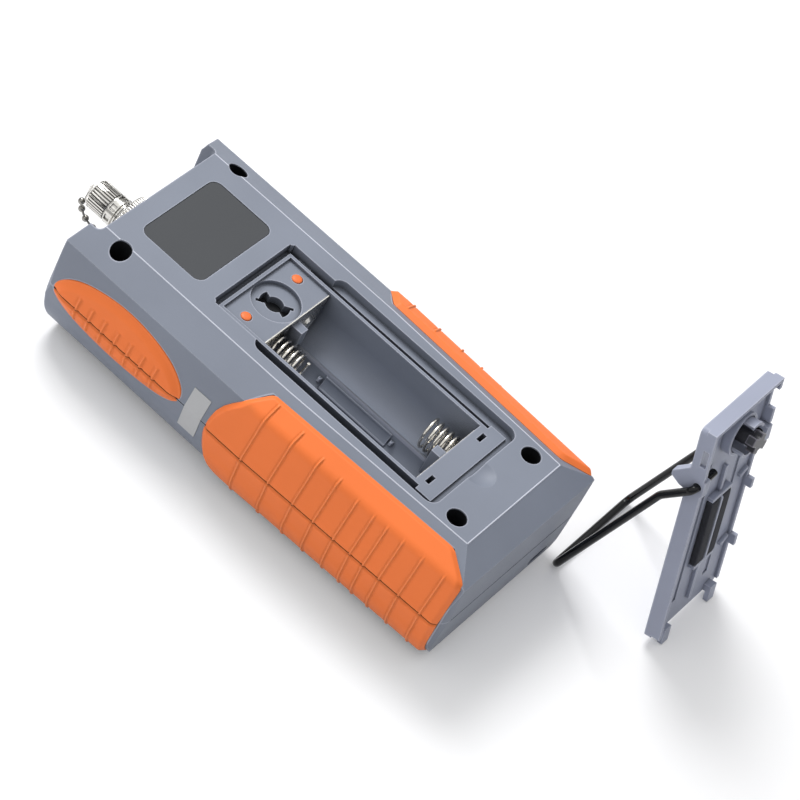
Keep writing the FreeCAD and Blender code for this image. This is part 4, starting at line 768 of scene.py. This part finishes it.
# The chain is a darker, greyer copy of the cap's nickel, painted shade that keeps the small balls a dark
# side.
chain_nickel = metal("dull_nickel", "#96948F", rough=0.2, edge=0.05)
chain = made("ball_chain_links", joined(chain_shapes), chain_nickel, None, ["ball_chain"])
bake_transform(chain)
washer_profile = ((WASHER_BACK, WASHER_BORE), (WASHER_BACK, WASHER_RADIUS), (WASHER_FRONT, WASHER_RADIUS),
                  (WASHER_FRONT, WASHER_BORE), (WASHER_BACK, WASHER_BORE))


def washer_tab(turn, along, radius):
    """Round tab on the washer: the rim swells towards the bottom by a bell curve of the angle."""
    swell = TAB_REACH * np.exp(-((np.degrees(turn) - TAB_ANGLE) / TAB_HALF) ** 4)
    return np.where(radius > WASHER_BORE, radius + swell, radius)


made("chain_washer", turned(washer_profile, PORT_AXIS, 180, washer_tab), nickel, "meter",
     ["chain_ring"])

# Battery bay: a low blank plate with a raised border, moulded with the rear shell on the near channel's
# wall, of the same ABS. It lies between two stub ribs, and its border catches a thin line of light, partly
# the case's painted highlight.
BAY_AXIS = (-7.6, 30.0)
BAY_RADIUS = 7.6
PATCH_RAMP, PATCH_SUNK = 0.3, -0.15
BORDER_FROM, BORDER_TO, BORDER_HEIGHT = 0.25, 0.8, 0.18
PLATE_ARC, PLATE_RUN, PLATE_HEIGHT = (-50, -12), (-25.6, 0.0), 0.3
STUB_ARC, STUB_RUNS, STUB_HEIGHT = (-38, -24), ((0.2, 1.5), (-27.1, -25.8)), 1.7


def bay_patch(start, end, low, high, height, border=0.0):
    """Raised patch of a channel's wall: a grid of angle and place along the channel, its edges let in."""
    turn = np.radians(np.linspace(start, end, 40))[None, :]
    y = np.linspace(low, high, 60)[:, None]
    from_sides = np.minimum(turn - turn[0, 0], turn[0, -1] - turn) * BAY_RADIUS
    edge = np.minimum(from_sides, np.minimum(y - low, high - y))
    rise = height * np.clip(edge / PATCH_RAMP, 0, 1) + border * (edge > BORDER_FROM) * (edge < BORDER_TO)
    rise = np.where(edge <= 0, PATCH_SUNK, rise)
    radius = BAY_RADIUS - rise
    x = BAY_AXIS[0] + radius * np.cos(turn)
    z = BAY_AXIS[1] + radius * np.sin(turn)
    return sheet_of(np.stack([x, y + 0 * turn, z], axis=-1))


bay_shapes = [bay_patch(*PLATE_ARC, *PLATE_RUN, PLATE_HEIGHT, BORDER_HEIGHT)]
bay_shapes += [bay_patch(*STUB_ARC, *run, STUB_HEIGHT) for run in STUB_RUNS]
made("bay_plate", joined(bay_shapes), case_grey, "meter", facing=(-1, 0, 1), crease=30)

# Battery cover: moulded ABS, satin, standing on its two hooks and on its stand. Its colour is painted a
# shade lighter than the case's for light its face doesn't get, and its edges get a painted highlight. The
# lock is a moulded stud of black acetal, waxy, with a painted highlight on its edges, that clips into the
# boss.
lightened_cover_grey = moulded("satin_abs", "#999EB0", painted_rim="#C6CAD8", rough=0.44, grain=0.18)
dress(lightened_cover_grey, "battery_cover")
dress(moulded("black_acetal", "#36373C", painted_rim="#8A8794", rough=0.35, grain=0.2, mottle=0.02), "cover_lock")

# Cell pads: two strips of black closed-cell foam stuck to the cover's inner face, each side of its middle
# rib.
# Their cut edges are a little crushed, so each strip is crowned, and the cut cells show as dull specks. The
# strips get a painted highlight on their edges and painted shade in their corners.
COVER_PLACE = np.array([47.0, -112.2326, 2.6929])
COVER_LEAN = math.radians(14.0096)
PAD_INNER, PAD_OUTER = 0.95, 4.95
PAD_LOW, PAD_HIGH = 21.75, 46.15
PAD_THICKNESS = 2.35
PAD_CROWN, PAD_CORNER, PAD_PINCH = 0.05, 0.2, 0.03
PAD_RIB_HALF, PAD_RIB_PROUD, PAD_RIB_CORNER = 0.5, 0.1, 0.3


def on_cover(points):
    """Points of the cover's own frame (across, through, up) carried to the standing cover."""
    across, through, up = np.moveaxis(points, -1, 0)
    sine, cosine = math.sin(COVER_LEAN), math.cos(COVER_LEAN)
    back = through * cosine + up * sine
    height = up * cosine - through * sine
    return COVER_PLACE + np.stack([across, back, height], axis=-1)


def strip(middle, half, low, high, thickness, crown, corner):
    """Strip on the cover: a rounded rectangle swept up it, crowned and shrinking to a line at both ends."""
    turn = np.linspace(0, 2 * math.pi, 96, endpoint=False)[None, :]
    run = np.sin(np.linspace(-math.pi / 2, math.pi / 2, 60))[:, None]
    full = (1 - abs(run) ** 40) ** (1 / 3)
    wide = np.sign(np.cos(turn)) * abs(np.cos(turn)) ** corner
    deep = np.sign(np.sin(turn)) * abs(np.sin(turn)) ** corner
    across = middle + wide * half * (1 - PAD_PINCH + PAD_PINCH * full)
    through = -thickness * (0.5 + 0.5 * deep * full) * (1 - crown * abs(wide) ** 4 - crown * abs(run) ** 8)
    up = (low + high) / 2 + run * (high - low) / 2 + 0 * turn
    return sheet_of(on_cover(np.stack([across, through, up], axis=-1)), wrap_columns=True)


pad_middle = (PAD_INNER + PAD_OUTER) / 2
pad_half = (PAD_OUTER - PAD_INNER) / 2
pads = [strip(side * pad_middle, pad_half, PAD_LOW, PAD_HIGH, PAD_THICKNESS, PAD_CROWN, PAD_CORNER)
        for side in (-1, 1)]
foam_black = moulded("closed_cell_foam", "#36373C", painted_rim="#6A6C74", rough=0.9, grain=0.5, relief=0.8,
                     mottle=0.15)
foam = made("cell_pad_strips", joined(pads), foam_black, "meter", ["cover_pads"])
pad_rib = strip(0.0, PAD_RIB_HALF, PAD_LOW, PAD_HIGH, PAD_THICKNESS + PAD_RIB_PROUD, 0.0, PAD_RIB_CORNER)
made("cover_pad_rib", pad_rib, lightened_cover_grey, "meter")

# Stand: one length of spring wire, bent to a bow and dipped in a black coating, so that a sharp highlight
# runs along it. Its ends are sprung into two lugs on the cover.
wire_black = moulded("gloss_coating", "#0E0F11", rough=0.16, grain=0.3, relief=0.04, edge=0.1, mottle=0.02,
                     shade=0)
dress(wire_black, "stand_bail")

# Front: a satin dark film, printed from behind and glued round a clear acrylic window, a pale greenish
# display in its black surround, and six matt silicone keys that come through the film from one mat.
front_film = moulded("front_film", "#2E3136", rough=0.4, grain=0.1, relief=0.08, edge=0.05, mottle=0.02)
dress(front_film, "front_overlay")
# The surround and the keys get a painted highlight on their edges, and these plastics painted shade in
# corners.
dress(moulded("display_surround", "#18181A", painted_rim="#3A3B3F", rough=0.5), "display_frame")
dress(moulded("display_face", "#8B9686", rough=0.25, relief=0.02, mottle=0.02), "display_glass")
key_silicone = moulded("key_silicone", "#5B6068", painted_rim="#868B94", rough=0.6, mottle=0.02)
dress(key_silicone, "key_power", "key_wavelength", "key_unit", "key_reference", "key_backlight", "key_store")
dress(moulded("mat_silicone", "#8F9193", rough=0.6), "keypad_mat")
# Handling leaves a faint haze on the window, drawn in patches of 2.5 mm, as finer ones wouldn't show.
HAZE_PATCH = 2.5
window_clear, tree, shader = new_material("clear_acrylic")
place = add_node(tree, "TexCoord").outputs["Object"]
haze = add_node(tree, "TexNoise", {"Vector": place, "Scale": 1000 / HAZE_PATCH}).outputs["Fac"]
tree.links.new(scaled(tree, haze, 0, 1, 0.02, 0.07), shader.inputs["Roughness"])
shader.inputs["Base Color"].default_value = srgb("#E8EDF0")
shader.inputs["Transmission Weight"].default_value = 1.0
shader.inputs["IOR"].default_value = 1.49
dress(window_clear, "display_window")

# Inner parts: the board under its glossy green mask, screwed to the front shell, its charging port of
# tinned steel, and the detector's gilt can in a turned holder of matt black anodised aluminium.
# The mask gets a painted highlight on its edges, and the board and the metals painted shade in their
# corners.
dress(moulded("solder_mask", "#1F5A36", painted_rim="#8A8F5A", rough=0.35, mottle=0.08), "circuit_board")
dress(metal("tinned_steel", "#BFC1C4", rough=0.35), "port_socket")
dress(metal("gilt_can", "#D9B45C"), "detector")
dress(metal("black_anodising", "#2A2A2C", rough=0.45), "detector_holder")


# Floor and light: a white table that keeps the shadows, a soft box over the meter's far end, a weaker one
# beside the camera, and a white room. What metal reflects of the room has dark bands, as black screens
# would give.
TABLE_GLOW = 0.12
SKY_TILT = (-0.1, 0.42, 0.9)
SKY_LOW, SKY_HIGH = 0.12, 0.98
SCREENS = ((0.10, 0.02), (0.32, 0.02), (0.38, 1.0), (0.50, 1.0), (0.54, 0.12), (0.60, 0.12), (0.65, 1.0))
HORIZON_LEVEL = 0.75
floor_white, tree, shader = new_material("white_table")
shader.inputs["Base Color"].default_value = (0.86, 0.86, 0.87, 1.0)
shader.inputs["Roughness"].default_value = 0.9
shader.inputs["Emission Color"].default_value = (1.0, 1.0, 1.0, 1.0)
seen = add_node(tree, "LightPath")
direct = add_node(tree, "Math", {0: seen.outputs["Is Camera Ray"], 1: seen.outputs["Is Glossy Ray"]},
                  operation="MAXIMUM")
through = add_node(tree, "Math", {0: direct.outputs[0], 1: seen.outputs["Is Transmission Ray"]},
                   operation="MAXIMUM")
tree.links.new(scaled(tree, through.outputs[0], 0, 1, 0, TABLE_GLOW), shader.inputs["Emission Strength"])
floor_mesh = bpy.data.meshes.new("floor")
floor_mesh.from_pydata([(-4, -4, 0), (4, -4, 0), (4, 4, 0), (-4, 4, 0)], [], [(0, 1, 2, 3)])
floor_mesh.materials.append(floor_white)
floor = bpy.data.objects.new("floor", floor_mesh)
bpy.context.scene.collection.objects.link(floor)

world = bpy.data.worlds.new("studio")
bpy.context.scene.world = world
world.use_nodes = True
tree = world.node_tree
direction = add_node(tree, "TexCoord").outputs["Generated"]
height = add_node(tree, "SeparateXYZ", {0: direction}).outputs["Z"]
screens = add_node(tree, "ValToRGB", {"Fac": height})
stops = screens.color_ramp.elements
stops[0].color = (HORIZON_LEVEL, HORIZON_LEVEL, HORIZON_LEVEL, 1.0)
for place, level in SCREENS:
    stops.new(place).color = (level, level, level, 1.0)
seen = add_node(tree, "LightPath")
toward = add_node(tree, "VectorMath", {0: direction, 1: SKY_TILT}, operation="DOT_PRODUCT").outputs["Value"]
sky_level = scaled(tree, toward, -0.3, 1.0, SKY_LOW, SKY_HIGH)
sky = mixed(tree, sky_level, (0.0, 0.0, 0.0, 1.0), (1.0, 1.0, 1.0, 1.0))
room = mixed(tree, seen.outputs["Is Diffuse Ray"], screens.outputs["Color"], sky)
backdrop = mixed(tree, seen.outputs["Is Camera Ray"], room, (1.0, 1.0, 1.0, 1.0))
background = tree.nodes["Background"]
tree.links.new(backdrop, background.inputs["Color"])
background.inputs["Strength"].default_value = 1.0


def softbox(name, place, size, power):
    """Square area light that looks from a place to the origin."""
    lamp = bpy.data.lights.new(name, "AREA")
    lamp.size = size
    lamp.energy = power
    obj = bpy.data.objects.new(name, lamp)
    bpy.context.scene.collection.objects.link(obj)
    obj.location = place
    obj.rotation_mode = "QUATERNION"
    obj.rotation_quaternion = (-Vector(place)).to_track_quat("-Z", "Y")


softbox("key", (0.42, 0.75, 1.15), 0.6, 13.0)
softbox("fill", (-1.2, 0.6, 0.7), 1.2, 2.0)
